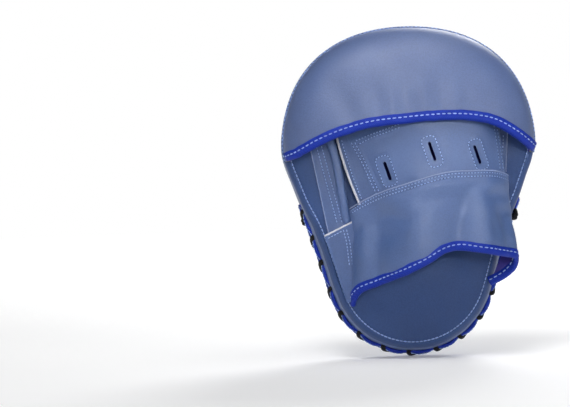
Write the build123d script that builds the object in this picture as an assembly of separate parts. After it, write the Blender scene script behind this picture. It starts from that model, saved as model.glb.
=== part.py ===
from build123d import *
from math import cos, pi, radians, sin
import os

# Right-hand boxing focus mitt. X runs across the mitt, to the right seen from the glove side.
# Y runs through its thickness, from the glove side (-Y) to the striking face (+Y), and Z runs
# up to the fingertips. Heights in this file start at the mitt's lowest point, and save() lowers
# every piece by ORIGIN_HEIGHT, which puts the origin in the middle of the hand pocket.

# Striking pad
PAD_HEIGHT = 261.0
PAD_HALF_WIDTH = 99.6
SHOULDER_HEIGHT = 160.0     # where the round crown meets the tapering flanks
CROWN_FULLNESS = 0.627      # Bezier handle length as a share of the crown's half axes
HEEL_RADIUS = 67.0
HEEL_ANGLE = radians(15.5)  # how far below its centre the heel's arc meets the flanks
ORIGIN_HEIGHT = 118.0
BACK_Y = 18.0
FACE_Y = 63.0
SEAM_Y = 38.5               # line where the front and back covers meet
FACE_ROUNDING = 9.0
BACK_ROUNDING = 4.0
COVER_THICKNESS = 1.4
FACE_FOAM_THICKNESS = 10.0
BACK_FOAM_THICKNESS = 12.0

# Striking face trim
DISC_RADIUS = 31.0
DISC_HEIGHT = 142.0
DISC_THICKNESS = 0.8
EMBLEM_HEIGHT = 214.0
EMBLEM_THICKNESS = 0.3
STAR_RADIUS = 17.0
STAR_INNER_RATIO = 0.42
STAR_POINTS = 5
BAR_START = 20.0            # distance of each bar's wide end from the star's middle
BARS = ((5.0, 20.0), (-4.0, 14.0))  # height above the star's middle, and length
BAR_WIDE_HALF = 2.5
BAR_NARROW_HALF = 0.8

# Binding tapes and lace round the lower side wall
TAPE_THICKNESS = 0.9
TAPE_WIDTH = 8.0
TAPE_GAP = 0.4
LACED_HEIGHT = 122.0        # the lacing stops here on both flanks
LACE_RADIUS = 1.3
LACE_BEND = 1.5
LACE_STITCHES = 15
LACE_TOP = 112.0
LACE_HOLE_Y = 4.5           # holes lie this far each side of the seam line
LACE_STANDOFF = 2.4
LACE_DEPTH = 2.6
LACE_SKEW = 0.3             # share of the pitch that each outer stroke leans
KNOT_RADIUS = 3.0
TAIL_LENGTH = 12.0
TAIL_LEAN = 17.0

# Finger hood
SOFT_CLEARANCE = 0.3        # between the pad and the soft parts that lift off it
HOOD_HEIGHT = 162.0         # centre of the hood's dome
HOOD_RADIUS = 97.0
HOOD_DEPTH = 42.0
HOOD_SHELL = 1.4
HOOD_PADDING = 2.8
HOOD_LINING = 1.0
HOOD_MOUTH = ((-98.0, 153.0), (18.0, 192.5), (102.0, 162.0))
HOOD_TAPE_WIDTH = 7.0

# Hand pocket: an arched roof of two layers, from the wrist mouth to under the hood
ROOF_SHELL = 1.4
ROOF_LINING = 1.0
ROOF_LOW, ROOF_HIGH = 38.0, 197.0
LOW_CENTRE, LOW_HALF_WIDTH, LOW_RISE, LOW_TUCK = 17.0, 69.0, 40.0, 13.0
HIGH_CENTRE, HIGH_HALF_WIDTH, HIGH_RISE, HIGH_TUCK = 15.0, 58.0, 28.0, 0.5
MOUTH_FOOT, MOUTH_CREST = 44.0, 84.0
MOUTH_TAPE_WIDTH = 6.5
ROOF_SEAM = ((-64.0, 108.0), (8.0, 139.0), (96.0, 134.0))
PANEL_LEFT = ((-57.0, 197.0), (-45.0, 169.0), (-27.0, 127.0), (-18.0, 106.0))
PANEL_RIGHT = ((68.0, 197.0), (77.0, 123.0))
ZONE_LOW = 100.0            # the panel's side seams stop here, hidden under the cuff
THUMB_GAP = (112.0, 174.0)  # lowest and highest point of the thumb opening
THUMB_GAP_RISE = 13.0
VENTS = ((-17.0, 146.0), (19.0, 161.0), (54.0, 159.0))
VENT_LENGTH, VENT_WIDTH, VENT_LEAN = 15.0, 2.5, 17.0
VENT_CUT_DEPTH = 9.0        # the slots' cutting prisms end this far above the pad
PATCH_LENGTH, PATCH_WIDTH = 24.0, 11.0

# Flat pieces sewn to the pad's back
PALM_THICKNESS = 1.2
PALM_WIDTH, PALM_LENGTH = 92.0, 150.0
PALM_MIDDLE = (12.0, 128.0)
PALM_CORNER = 12.0
FLAT_THICKNESS = 1.4
PALM_EDGE = ((-79.0, 170.0), (-62.0, 113.0), (-54.0, 113.0), (-60.0, 170.0))
PALM_ROLL = ((-56.5, 168.0), (-53.0, 146.0), (-51.5, 113.0))
PALM_ROLL_RADIUS = 2.4
PALM_ROLL_BEND = 60.0
CUFF_TAB = ((-69.5, 94.0), (-53.5, 102.0), (-54.0, 46.0), (-58.0, 50.0))
RIGHT_FLANGE = ((79.0, 178.0), (88.0, 176.0), (86.0, 138.0), (81.0, 138.0))

FAR = 400.0                 # longer than the mitt in any direction


def save(solids, node):
    """Write one sub-part, lowered so that the origin lies in the hand pocket."""
    pieces = [piece.moved(Location((0, 0, -ORIGIN_HEIGHT))) for piece in solids]
    shape = pieces[0] if len(pieces) == 1 else Compound(children=pieces)
    shape.label = node
    export_step(shape, f"parts/{node}.step")


def prism(sketch, near_y, far_y):
    """Extrude a sketch drawn in X and height from near_y to far_y."""
    plane = Plane(origin=(0, far_y, 0), x_dir=(1, 0, 0), z_dir=(0, -1, 0))
    return extrude(plane * sketch, amount=far_y - near_y)


def flank_line(grow=0.0):
    """Right flank of the outline, from the heel's arc up to the shoulder."""
    radius = HEEL_RADIUS + grow
    start = (radius * cos(HEEL_ANGLE), HEEL_RADIUS - radius * sin(HEEL_ANGLE))
    heading = (sin(HEEL_ANGLE), cos(HEEL_ANGLE))
    return TangentArc(start, (PAD_HALF_WIDTH + grow, SHOULDER_HEIGHT), tangent=heading)


def pad_sketch(grow=0.0):
    """The mitt's outline, made larger or smaller all round."""
    half_width = PAD_HALF_WIDTH + grow
    rise = PAD_HEIGHT + grow - SHOULDER_HEIGHT
    top = (0, SHOULDER_HEIGHT + rise)
    crown = Bezier(
        (half_width, SHOULDER_HEIGHT),
        (half_width, SHOULDER_HEIGHT + CROWN_FULLNESS * rise),
        (CROWN_FULLNESS * half_width, SHOULDER_HEIGHT + rise),
        top,
    )
    flank = flank_line(grow)
    left_flank = flank.mirror(Plane.YZ)
    heel = ThreePointArc(left_flank @ 0, (0, -grow), flank @ 0)
    return make_face([heel, flank, crown, crown.mirror(Plane.YZ), left_flank])


def rounded_block(grow, near_y, far_y, face_radius=0.0, back_radius=0.0):
    """A slab of the pad with its outer edges rounded on the face or on the back."""
    block = prism(pad_sketch(grow), near_y, far_y)
    if face_radius:
        block = fillet(block.faces().sort_by(Axis.Y)[-1].edges(), face_radius)
    if back_radius:
        block = fillet(block.faces().sort_by(Axis.Y)[0].edges(), back_radius)
    return block


def front_cover():
    outer = rounded_block(0, SEAM_Y, FACE_Y, face_radius=FACE_ROUNDING)
    return outer - face_room()


def back_cover():
    outer = rounded_block(0, BACK_Y, SEAM_Y, back_radius=BACK_ROUNDING)
    return outer - back_room()


def face_room():
    """Space inside the front cover."""
    radius = FACE_ROUNDING - COVER_THICKNESS
    return rounded_block(-COVER_THICKNESS, SEAM_Y, FACE_Y - COVER_THICKNESS, face_radius=radius)


def back_room():
    """Space inside the back cover."""
    radius = BACK_ROUNDING - COVER_THICKNESS
    return rounded_block(-COVER_THICKNESS, BACK_Y + COVER_THICKNESS, SEAM_Y, back_radius=radius)


def foam_layers():
    """Soft face foam, firm core and stiff back sheet, which fill the two covers."""
    split_face = FACE_Y - COVER_THICKNESS - FACE_FOAM_THICKNESS
    split_back = BACK_Y + COVER_THICKNESS + BACK_FOAM_THICKNESS
    face_foam = face_room() & prism(Rectangle(FAR, 2 * FAR), split_face, FACE_Y)
    core = prism(pad_sketch(-COVER_THICKNESS), split_back, split_face)
    back_foam = back_room() & prism(Rectangle(FAR, 2 * FAR), BACK_Y, split_back)
    return face_foam, core, back_foam


def target_disc():
    disc = Pos(0, DISC_HEIGHT) * Circle(DISC_RADIUS)
    return prism(disc, FACE_Y, FACE_Y + DISC_THICKNESS)


def emblem():
    """A plain five-pointed star between two pairs of tapering bars."""
    tips = []
    for corner in range(2 * STAR_POINTS):
        radius = STAR_RADIUS * (1 if corner % 2 == 0 else STAR_INNER_RATIO)
        angle = pi / 2 + corner * pi / STAR_POINTS
        tips.append((radius * cos(angle), EMBLEM_HEIGHT + radius * sin(angle)))
    shapes = [make_face(Polyline(*tips, close=True))]
    for side in (-1, 1):
        for level, length in BARS:
            shapes.append(emblem_bar(side, EMBLEM_HEIGHT + level, length))
    return [prism(shape, FACE_Y, FACE_Y + EMBLEM_THICKNESS) for shape in shapes]


def emblem_bar(side, middle, length):
    """A bar that starts wide beside the star and narrows outwards."""
    inner = side * BAR_START
    outer = side * (BAR_START + length)
    corners = (
        (inner, middle + BAR_WIDE_HALF),
        (outer, middle + BAR_NARROW_HALF),
        (outer, middle - BAR_NARROW_HALF),
        (inner, middle - BAR_WIDE_HALF),
    )
    return make_face(Polyline(*corners, close=True))


def edge_tape(near_y, far_y):
    """Binding tape on the outside of the side wall, round the laced part."""
    ring = prism(pad_sketch(TAPE_THICKNESS), near_y, far_y) - prism(pad_sketch(), near_y, far_y)
    laced = prism(Pos(0, LACED_HEIGHT - FAR / 2) * Rectangle(FAR, FAR), near_y, far_y)
    return ring & laced


def lacing_point(distance, lift, y):
    """Point on the laced side wall, at a distance along it from the heel's lowest point."""
    heel_half = HEEL_RADIUS * (pi / 2 - HEEL_ANGLE)
    side = 1 if distance >= 0 else -1
    travel = abs(distance)
    if travel <= heel_half:
        angle = travel / HEEL_RADIUS
        across = (HEEL_RADIUS + lift) * sin(angle)
        height = HEEL_RADIUS - (HEEL_RADIUS + lift) * cos(angle)
        return (side * across, y, height)
    flank = flank_line()
    share = (travel - heel_half) / flank.length
    spot = flank.position_at(share)
    heading = flank.tangent_at(share)
    return (side * (spot.X + lift * heading.Y), y, spot.Y - lift * heading.X)


def laced_half_length():
    """Length of lacing from the heel's lowest point up to LACE_TOP."""
    flank = flank_line()
    start_height = HEEL_RADIUS * (1 - sin(HEEL_ANGLE))
    share = (LACE_TOP - start_height) / (SHOULDER_HEIGHT - start_height)
    return HEEL_RADIUS * (pi / 2 - HEEL_ANGLE) + share * flank.length


def lace_route():
    """Whip stitch: a leaning stroke outside over both tapes, then back inside to the next hole."""
    half = laced_half_length()
    pitch = 2 * half / (LACE_STITCHES - 1)
    lean = LACE_SKEW * pitch / 2
    points = []
    for stitch in range(LACE_STITCHES):
        middle = -half + stitch * pitch
        inner_front = lacing_point(middle + lean, -LACE_DEPTH, SEAM_Y + LACE_HOLE_Y)
        outer_front = lacing_point(middle + lean, LACE_STANDOFF, SEAM_Y + LACE_HOLE_Y)
        outer_back = lacing_point(middle - lean, LACE_STANDOFF, SEAM_Y - LACE_HOLE_Y)
        inner_back = lacing_point(middle - lean, -LACE_DEPTH, SEAM_Y - LACE_HOLE_Y)
        points += [inner_front, outer_front, outer_back, inner_back]
    return points[1:-1]


def lace():
    path = FilletPolyline(*lace_route(), radius=LACE_BEND)
    start = Plane(origin=path @ 0, z_dir=path % 0)
    return sweep(start * Circle(LACE_RADIUS), path=path)


def lace_knots():
    """A knot at each end of the lace, with a short tail pointing to the fingers."""
    route = lace_route()
    knots = []
    for end in (route[0], route[-1]):
        side = 1 if end[0] > 0 else -1
        lean = Rot(0, side * TAIL_LEAN, 0)
        ball = Sphere(KNOT_RADIUS)
        tail = lean * Pos(0, 0, TAIL_LENGTH / 2) * Cylinder(LACE_RADIUS, TAIL_LENGTH)
        knots.append(Pos(*end) * (ball + tail))
    return knots


def dome(inset):
    """Half spheroid over the fingers, standing SOFT_CLEARANCE off the pad."""
    radius = HOOD_RADIUS - inset
    depth = HOOD_DEPTH - inset
    arc = EllipticalCenterArc((0, 0), radius, depth, start_angle=270, arc_size=90)
    quarter = make_face([arc, Line((radius, 0), (0, 0)), Line((0, 0), (0, -depth))])
    solid = revolve(quarter, Axis.Y, 360)
    return Pos(0, BACK_Y - SOFT_CLEARANCE, HOOD_HEIGHT) * solid


def above_hood_mouth(shift):
    """Everything above the hood's free edge, moved up by shift."""
    left, crest, right = [(x, height + shift) for x, height in HOOD_MOUTH]
    top = PAD_HEIGHT + FAR
    outline = [
        ThreePointArc(left, crest, right),
        Polyline(right, (FAR, right[1]), (FAR, top), (-FAR, top), (-FAR, left[1]), left),
    ]
    return prism(make_face(outline), -FAR, FAR)


def hood_layers():
    """Hood shell, padding and lining, one inside the other."""
    room = above_hood_mouth(TAPE_THICKNESS)
    depths = (0, HOOD_SHELL, HOOD_SHELL + HOOD_PADDING, HOOD_SHELL + HOOD_PADDING + HOOD_LINING)
    return [(dome(outer) - dome(inner)) & room for outer, inner in zip(depths, depths[1:])]


def hood_binding(layers):
    """Tape folded over the hood's free edge."""
    total = HOOD_SHELL + HOOD_PADDING + HOOD_LINING
    band = dome(-TAPE_THICKNESS) - dome(total + TAPE_THICKNESS)
    band = (band & above_hood_mouth(0)) - above_hood_mouth(HOOD_TAPE_WIDTH)
    for layer in layers:
        band = band - layer
    return band


def roof_section(height, centre, half_width, rise, tuck, inset):
    """Filled arch at one height. The right side bulges, then tucks back in to its foot."""
    base = BACK_Y - SOFT_CLEARANCE
    wide = half_width - inset
    left = EllipticalCenterArc((centre, base), wide, rise - inset, start_angle=180, arc_size=90)
    deep = rise - tuck - inset
    under = asin_degrees(tuck / deep)
    right = EllipticalCenterArc((centre, base - tuck), wide, deep, start_angle=270, arc_size=90 + under)
    foot = Line(right @ 1, left @ 0)
    return Pos(0, 0, height) * make_face([left, right, foot])


def asin_degrees(value):
    """Angle in degrees whose sine is value."""
    return Vector((1 - value ** 2) ** 0.5, value).get_angle(Vector(1, 0))


def roof_solid(inset):
    """The hand pocket's roof as a filled arch, flared towards the wrist."""
    low = roof_section(ROOF_LOW, LOW_CENTRE, LOW_HALF_WIDTH, LOW_RISE, LOW_TUCK, inset)
    high = roof_section(ROOF_HIGH, HIGH_CENTRE, HIGH_HALF_WIDTH, HIGH_RISE, HIGH_TUCK, inset)
    return loft([low, high], ruled=True)


def above_mouth(shift):
    """Everything on the finger side of the slanted wrist mouth, moved up by shift."""
    base = BACK_Y
    crest = BACK_Y - LOW_RISE
    slope = (MOUTH_CREST - MOUTH_FOOT) / (crest - base)
    low = MOUTH_FOOT + shift + slope * FAR / 2
    high = MOUTH_FOOT + shift - slope * FAR / 2
    corners = (
        (base + FAR / 2, low),
        (base + FAR / 2, FAR * 3),
        (base - FAR / 2, FAR * 3),
        (base - FAR / 2, high),
    )
    across = Plane(origin=(-FAR, 0, 0), x_dir=(0, 1, 0), z_dir=(1, 0, 0))
    return extrude(across * make_face(Polyline(*corners, close=True)), amount=2 * FAR)


def zone(left_line, right_line):
    """Prism between two lines that run down the roof."""
    outline = Polyline(*left_line, *reversed(right_line), close=True)
    return prism(make_face(outline), -FAR, FAR)


def above_roof_seam():
    """Everything on the finger side of the seam between the cuff and the hand-back panel."""
    left, crest, right = ROOF_SEAM
    outline = [ThreePointArc(left, crest, right), Polyline(right, (right[0], FAR), (left[0], FAR), left)]
    return prism(make_face(outline), -FAR, FAR)


def thumb_opening():
    """Room for the thumb on the left side, below the roof's edge."""
    low, high = THUMB_GAP
    size_y = THUMB_GAP_RISE + SOFT_CLEARANCE
    middle_y = BACK_Y - THUMB_GAP_RISE + size_y / 2
    return Pos(-FAR / 2, middle_y, (low + high) / 2) * Box(FAR, size_y, high - low)


def vent_slots(length, width):
    """Slots or patches in the hand-back panel, leaning to the left."""
    solids = []
    for x, height in VENTS:
        slot = Pos(x, height) * Rot(0, 0, VENT_LEAN) * SlotOverall(length, width, rotation=90)
        solids.append(prism(slot, -FAR, BACK_Y - VENT_CUT_DEPTH))
    return Part() + solids


def pocket_parts():
    """The roof's layers, cut into the pieces that are sewn together."""
    shell = roof_solid(0) - roof_solid(ROOF_SHELL)
    lining = roof_solid(ROOF_SHELL) - roof_solid(ROOF_SHELL + ROOF_LINING)
    opening = thumb_opening()
    upper = above_roof_seam()
    cuff_room = above_mouth(TAPE_THICKNESS)
    slots = vent_slots(VENT_LENGTH, VENT_WIDTH)
    far_left = ((-FAR, ROOF_HIGH), (-FAR, ZONE_LOW))
    far_right = ((FAR, ROOF_HIGH), (FAR, ZONE_LOW))

    upper_shell = (shell & upper) - opening
    panel = (upper_shell & zone(PANEL_LEFT, PANEL_RIGHT)) - slots
    thumb_strip = upper_shell & zone(far_left, PANEL_LEFT)
    right_strip = upper_shell & zone(PANEL_RIGHT, far_right)
    upper_lining = (lining & upper) - opening
    panel_lining = upper_lining - slots - vent_slots(PATCH_LENGTH, PATCH_WIDTH)
    patches = (upper_lining & vent_slots(PATCH_LENGTH, PATCH_WIDTH)) - slots
    cuff = ((shell - upper) & cuff_room) - opening
    cuff_lining = ((lining - upper) & cuff_room) - opening
    total = ROOF_SHELL + ROOF_LINING
    tape = roof_solid(-TAPE_THICKNESS) - roof_solid(total + TAPE_THICKNESS)
    tape = ((tape & above_mouth(0)) - above_mouth(MOUTH_TAPE_WIDTH)) - (cuff + cuff_lining)
    return {
        "hand_back_panel": panel,
        "hand_back_lining": panel_lining,
        "vent_patches": patches,
        "thumb_strip": thumb_strip,
        "outer_side_strip": right_strip,
        "cuff": cuff,
        "cuff_lining": cuff_lining,
        "cuff_binding": tape,
    }


def flat_piece(corners, thickness=FLAT_THICKNESS):
    """A flat piece of cover material sewn on the pad's back."""
    return prism(make_face(Polyline(*corners, close=True)), BACK_Y - thickness, BACK_Y)


def palm_lining():
    """Lining under the palm, clear of the roof's feet."""
    sheet = Pos(*PALM_MIDDLE) * RectangleRounded(PALM_WIDTH, PALM_LENGTH, PALM_CORNER)
    return prism(sheet, BACK_Y - PALM_THICKNESS, BACK_Y)


def palm_roll():
    """Rolled edge of the palm panel, along the thumb opening."""
    y = BACK_Y - PALM_ROLL_RADIUS
    path = FilletPolyline(*[(x, y, height) for x, height in PALM_ROLL], radius=PALM_ROLL_BEND)
    start = Plane(origin=path @ 0, z_dir=path % 0)
    return sweep(start * Circle(PALM_ROLL_RADIUS), path=path)


def main():
    os.makedirs("parts", exist_ok=True)
    save(front_cover().solids(), "front_cover")
    save(back_cover().solids(), "back_cover")
    face_foam, core, back_foam = foam_layers()
    save(face_foam.solids(), "face_foam")
    save(core.solids(), "core_foam")
    save(back_foam.solids(), "back_foam")
    save(target_disc().solids(), "target_disc")
    save(emblem(), "emblem_print")
    save(edge_tape(SEAM_Y + TAPE_GAP, SEAM_Y + TAPE_GAP + TAPE_WIDTH).solids(), "front_edge_binding")
    save(edge_tape(SEAM_Y - TAPE_GAP - TAPE_WIDTH, SEAM_Y - TAPE_GAP).solids(), "back_edge_binding")
    save(lace().solids(), "side_lace")
    save(lace_knots(), "lace_knots")

    layers = hood_layers()
    for layer, node in zip(layers, ("hood_shell", "hood_padding", "hood_lining")):
        save(layer.solids(), node)
    save(hood_binding(layers).solids(), "hood_binding")

    for node, part in pocket_parts().items():
        save(part.solids(), node)

    save(palm_lining().solids(), "palm_lining")
    save(flat_piece(PALM_EDGE).solids(), "palm_edge_panel")
    save(palm_roll().solids(), "palm_edge_roll")
    save(flat_piece(CUFF_TAB).solids(), "cuff_tab")
    save(flat_piece(RIGHT_FLANGE).solids(), "outer_side_flange")


main()
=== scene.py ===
"""Looks of a right-hand boxing focus mitt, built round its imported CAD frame.

Shapes are worked out in millimetres as (x, y, h), where h is the height above the mitt's lowest
point, and place() turns them into the row frame's metres.
"""

import math
import random
from functools import cache

import bmesh
import bpy
import numpy as np
from mathutils import Matrix, Vector
from mathutils.kdtree import KDTree


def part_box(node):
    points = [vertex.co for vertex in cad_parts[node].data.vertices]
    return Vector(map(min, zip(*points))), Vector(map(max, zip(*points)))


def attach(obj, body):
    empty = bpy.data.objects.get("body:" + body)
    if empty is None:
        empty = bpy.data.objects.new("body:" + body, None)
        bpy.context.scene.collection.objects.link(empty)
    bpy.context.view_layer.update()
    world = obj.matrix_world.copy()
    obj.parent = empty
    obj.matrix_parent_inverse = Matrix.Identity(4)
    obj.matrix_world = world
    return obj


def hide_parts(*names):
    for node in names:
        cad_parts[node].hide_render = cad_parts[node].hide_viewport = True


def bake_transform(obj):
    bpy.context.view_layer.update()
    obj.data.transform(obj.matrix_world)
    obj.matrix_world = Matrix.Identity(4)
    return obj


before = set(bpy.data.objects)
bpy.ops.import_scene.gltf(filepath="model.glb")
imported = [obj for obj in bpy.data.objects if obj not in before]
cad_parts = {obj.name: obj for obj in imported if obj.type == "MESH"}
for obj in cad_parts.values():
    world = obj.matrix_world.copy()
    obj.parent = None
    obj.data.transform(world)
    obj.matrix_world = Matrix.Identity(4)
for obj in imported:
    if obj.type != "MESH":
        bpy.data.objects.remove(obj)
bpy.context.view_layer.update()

MM = 0.001


def box_mm(node):
    """Corners of a CAD node in millimetres, in the row frame."""
    low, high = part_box(node)
    return np.array(low) / MM, np.array(high) / MM


# ---- the pad, from the frame ----
BACK_LOW, BACK_HIGH = box_mm("back_cover")
BOTTOM = BACK_LOW[2]
HEIGHT = BACK_HIGH[2] - BOTTOM
WELT = 2.2                           # how far the sewn rim stands out past the cut covers
HALF_WIDTH = BACK_HIGH[0] + WELT
BACK = BACK_LOW[1]
SEAM = BACK_HIGH[1]
FACE = box_mm("front_cover")[1][1]

SHOULDER = 160.0
CROWN_FULLNESS = 0.635
HEEL_RADIUS = 67.0
HEEL_ANGLE = math.radians(15.5)
MIDDLE = np.array([0.0, 150.0])      # where the rings of the flat faces close
PERIMETER_POINTS = 400
RAY_START = 400
HEEL_TAPER = 3.2
HEEL_BULGE = 9.0

# ---- tape and lace ----
LACE_TOP = 112.0
TAPE_TOP = 122.0
LACE_STITCHES = 15
LACE_RADIUS = 1.85
LACE_HOLE = 7.4

# ---- hood ----
HOOD_CENTRE = np.array([0.0, 162.0])
HOOD_DEPTH = 41.0
HOOD_THICKNESS = 4.0
HOOD_INSET = 1.4
ON_BACK = 0.2                        # gap between the pad's back and what lies on it
HOOD_MOUTH = ((-99.5, 156.0), (-90.0, 159.0), (-73.5, 167.3), (-51.5, 175.6), (-29.5, 180.6),
              (-9.0, 182.4), (12.0, 183.8), (33.5, 184.2), (48.5, 183.0), (64.0, 179.6),
              (80.0, 171.0), (99.5, 157.0))

# ---- hand pocket, values by height ----
ROOF_CENTRE = 17.0
LEFT_FOOT = ((36, -48.5), (75, -47.5), (105, -45.5), (120, -47.0), (140, -53.0), (170, -59.0),
             (205, -62.0))
RIGHT_WIDE = ((36, 78.0), (60, 79.5), (79, 80.0), (103, 78.0), (138, 75.0), (170, 73.0), (205, 70.5))
RISE = ((36, 41.0), (80, 40.0), (110, 37.5), (140, 34.6), (170, 32.5), (205, 30.0))
TUCK = ((36, 17.5), (60, 16.5), (90, 11.0), (115, 5.0), (140, 2.0), (205, 0.5))
PANEL_TOP = 199.0
PANEL_LIFT = 1.5
CUFF_LIFT = 2.75                     # how far the cuff's top edge stands off the thumb strip
PANEL_LEFT = ((105, -19.5), (127, -28.5), (168, -46.0), (199, -57.0))
PANEL_RIGHT = ((130, 73.5), (140, 73.0), (181, 68.5), (199, 66.5))
FREE_EDGE = ((110, -37.5), (122, -41.5), (135, -46.5), (149, -51.0), (171, -56.5), (199, -59.5))
CUFF_SEAM = ((-56, 111.0), (-47, 116.5), (-28.5, 127.0), (-3, 135.6), (27.5, 143.2), (42.5, 143.6),
             (74, 139.5), (84, 133.0))
CUFF_MOUTH = ((0.0, 38.5), (0.4, 48.5), (0.86, 57.5), (1.22, 65.6), (1.465, 73.4), (1.65, 80.2),
              (1.83, 82.4), (2.1, 79.8), (2.45, 76.8), (2.95, 73.0), (3.4, 63.0), (3.92, 52.0))
VENTS = ((-19.3, 145.5), (15.2, 159.3), (50.8, 156.0))
VENT_LENGTH, VENT_WIDTH, VENT_LEAN = 15.0, 2.6, math.radians(17)
FRAME_LENGTH, FRAME_WIDTH = 24.5, 11.0

STITCH_PITCH = 4.3
STITCH_LENGTH = 2.8
STITCH_WIDTH = 0.95
FINE_PITCH, FINE_LENGTH, FINE_WIDTH = 2.7, 1.8, 0.75
ROW_GAP = 2.6
CREASE_REACH = 1.7      # how far from its row a line of sewing pulls the leather in
CREASE_DEPTH = 0.45
CREASE_SPACING = 0.8
SHARP_ANGLE = math.radians(45)
CLOTH_STEP = 4          # the cloth is solved on every fourth row and column
CLOTH_FRAMES = 20

# ---- printed emblem ----
STAR_HEIGHT = 214.0
STAR_OUTER, STAR_INNER = 17.0, 7.1
BAR_START = 20.0
BARS = ((5.0, 20.0), (-4.0, 14.0))     # height above the star's middle, and length
BAR_WIDE_HALF, BAR_NARROW_HALF = 2.5, 0.8


# ---------------------------------------------------------------- numbers and curves

def place(points):
    """Millimetre points (x, y, h) as row-frame metres."""
    points = np.asarray(points, float).reshape(-1, 3)
    return (points + np.array([0.0, 0.0, BOTTOM])) * MM


def curve_at(knots, x):
    """Smooth curve through (x, value) knots, held level outside them."""
    knots = np.array(knots, float)
    xs, ys = knots[:, 0], knots[:, 1]
    slopes = np.gradient(ys, xs)
    x = np.clip(np.asarray(x, float), xs[0], xs[-1])
    i = np.clip(np.searchsorted(xs, x) - 1, 0, len(xs) - 2)
    width = xs[i + 1] - xs[i]
    t = (x - xs[i]) / width
    return ((2 * t**3 - 3 * t**2 + 1) * ys[i] + (t**3 - 2 * t**2 + t) * width * slopes[i]
            + (3 * t**2 - 2 * t**3) * ys[i + 1] + (t**3 - t**2) * width * slopes[i + 1])


def unit(vectors):
    return vectors / np.maximum(np.linalg.norm(vectors, axis=-1, keepdims=True), 1e-9)


def smoothstep(low, high, x):
    t = np.clip((np.asarray(x, float) - low) / (high - low), 0, 1)
    return t * t * (3 - 2 * t)


def bump_at(x, centre, width):
    return np.exp(-(((x - centre) / width) ** 2))


def resample(points, spacing=None, count=None):
    """The same line with evenly spaced points."""
    points = np.asarray(points, float)
    steps = np.linalg.norm(np.diff(points, axis=0), axis=1)
    along = np.concatenate([[0], np.cumsum(steps)])
    count = count or max(2, int(round(along[-1] / spacing)) + 1)
    wanted = np.linspace(0, along[-1], count)
    return np.stack([np.interp(wanted, along, points[:, k]) for k in range(points.shape[1])], axis=1)


def b_spline(points, per_span):
    """Quadratic B-spline that rounds a route's corners."""
    points = np.asarray(points, float)
    points = np.vstack([2 * points[0] - points[1], points, 2 * points[-1] - points[-2]])
    result = []
    for a, b, c in zip(points, points[1:], points[2:]):
        for t in np.linspace(0, 1, per_span, endpoint=False):
            result.append((a + b) / 2 * (1 - t) ** 2 + 2 * b * t * (1 - t) + (b + c) / 2 * t**2)
    result.append((points[-2] + points[-1]) / 2)
    return np.array(result)


def half_outline():
    """Right half of the pad's outline, from its lowest point to its highest, as dense points."""
    angles = np.linspace(0, math.pi / 2 - HEEL_ANGLE, 60)
    heel = np.stack([HEEL_RADIUS * np.sin(angles), HEEL_RADIUS * (1 - np.cos(angles))], axis=1)
    start = heel[-1]
    heading = np.array([math.sin(HEEL_ANGLE), math.cos(HEEL_ANGLE)])
    end = np.array([HALF_WIDTH, SHOULDER])
    chord = end - start
    side = np.array([heading[1], -heading[0]])
    radius = chord @ chord / (2 * chord @ side)
    centre = start + side * radius
    turn = 2 * math.asin(np.linalg.norm(chord) / (2 * radius))
    sweep_angles = np.linspace(0, turn, 60)[1:]
    out = start - centre
    flank = [centre + out * math.cos(a) + heading * radius * math.sin(a) for a in sweep_angles]
    rise = HEIGHT - SHOULDER
    k = CROWN_FULLNESS
    corners = np.array([[HALF_WIDTH, SHOULDER], [HALF_WIDTH, SHOULDER + k * rise],
                        [k * HALF_WIDTH, HEIGHT], [0, HEIGHT]])
    t = np.linspace(0, 1, 90)[1:, None]
    crown = ((1 - t) ** 3 * corners[0] + 3 * (1 - t) ** 2 * t * corners[1]
             + 3 * (1 - t) * t**2 * corners[2] + t**3 * corners[3])
    return np.vstack([heel, flank, crown])


def closed_outline(count):
    """Evenly spaced outline points from the lowest point, anticlockwise, with outward normals."""
    right = half_outline()
    left = right[::-1][1:] * np.array([-1, 1])
    loop = resample(np.vstack([right, left]), count=count + 1)[:-1]
    for _ in range(40):
        loop = (np.roll(loop, 1, 0) + 2 * loop + np.roll(loop, -1, 0)) / 4
    tangent = unit(np.roll(loop, -1, 0) - np.roll(loop, 1, 0))
    normal = np.stack([tangent[:, 1], -tangent[:, 0]], axis=1)
    return loop, normal


RIGHT_HALF = half_outline()
RIGHT_ALONG = np.concatenate([[0], np.cumsum(np.linalg.norm(np.diff(RIGHT_HALF, axis=0), axis=1))])
OUTLINE, OUTLINE_NORMAL = closed_outline(PERIMETER_POINTS)
OUTLINE_ANGLE = np.arctan2(OUTLINE[:, 1] - HOOD_CENTRE[1], OUTLINE[:, 0] - HOOD_CENTRE[0])


def side_point(distance):
    """Outline point and outward normal at a signed distance from the lowest point."""
    distance = np.asarray(distance, float)
    sign = np.where(distance < 0, -1.0, 1.0)
    travel = np.abs(distance)
    step = 0.5
    x = np.interp(travel, RIGHT_ALONG, RIGHT_HALF[:, 0])
    h = np.interp(travel, RIGHT_ALONG, RIGHT_HALF[:, 1])
    dx = np.interp(travel + step, RIGHT_ALONG, RIGHT_HALF[:, 0]) - x
    dh = np.interp(travel + step, RIGHT_ALONG, RIGHT_HALF[:, 1]) - h
    length = np.hypot(dx, dh)
    return np.stack([x * sign, h], -1), np.stack([dh / length * sign, -dx / length], -1)


LACED_HALF = float(np.interp(LACE_TOP, RIGHT_HALF[:, 1], RIGHT_ALONG))
LACE_PITCH = 2 * LACED_HALF / (LACE_STITCHES - 1)
LACE_LEAN = 4.6
TAPED_HALF = float(np.interp(TAPE_TOP, RIGHT_HALF[:, 1], RIGHT_ALONG))


# ---------------------------------------------------------------- meshes

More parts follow.
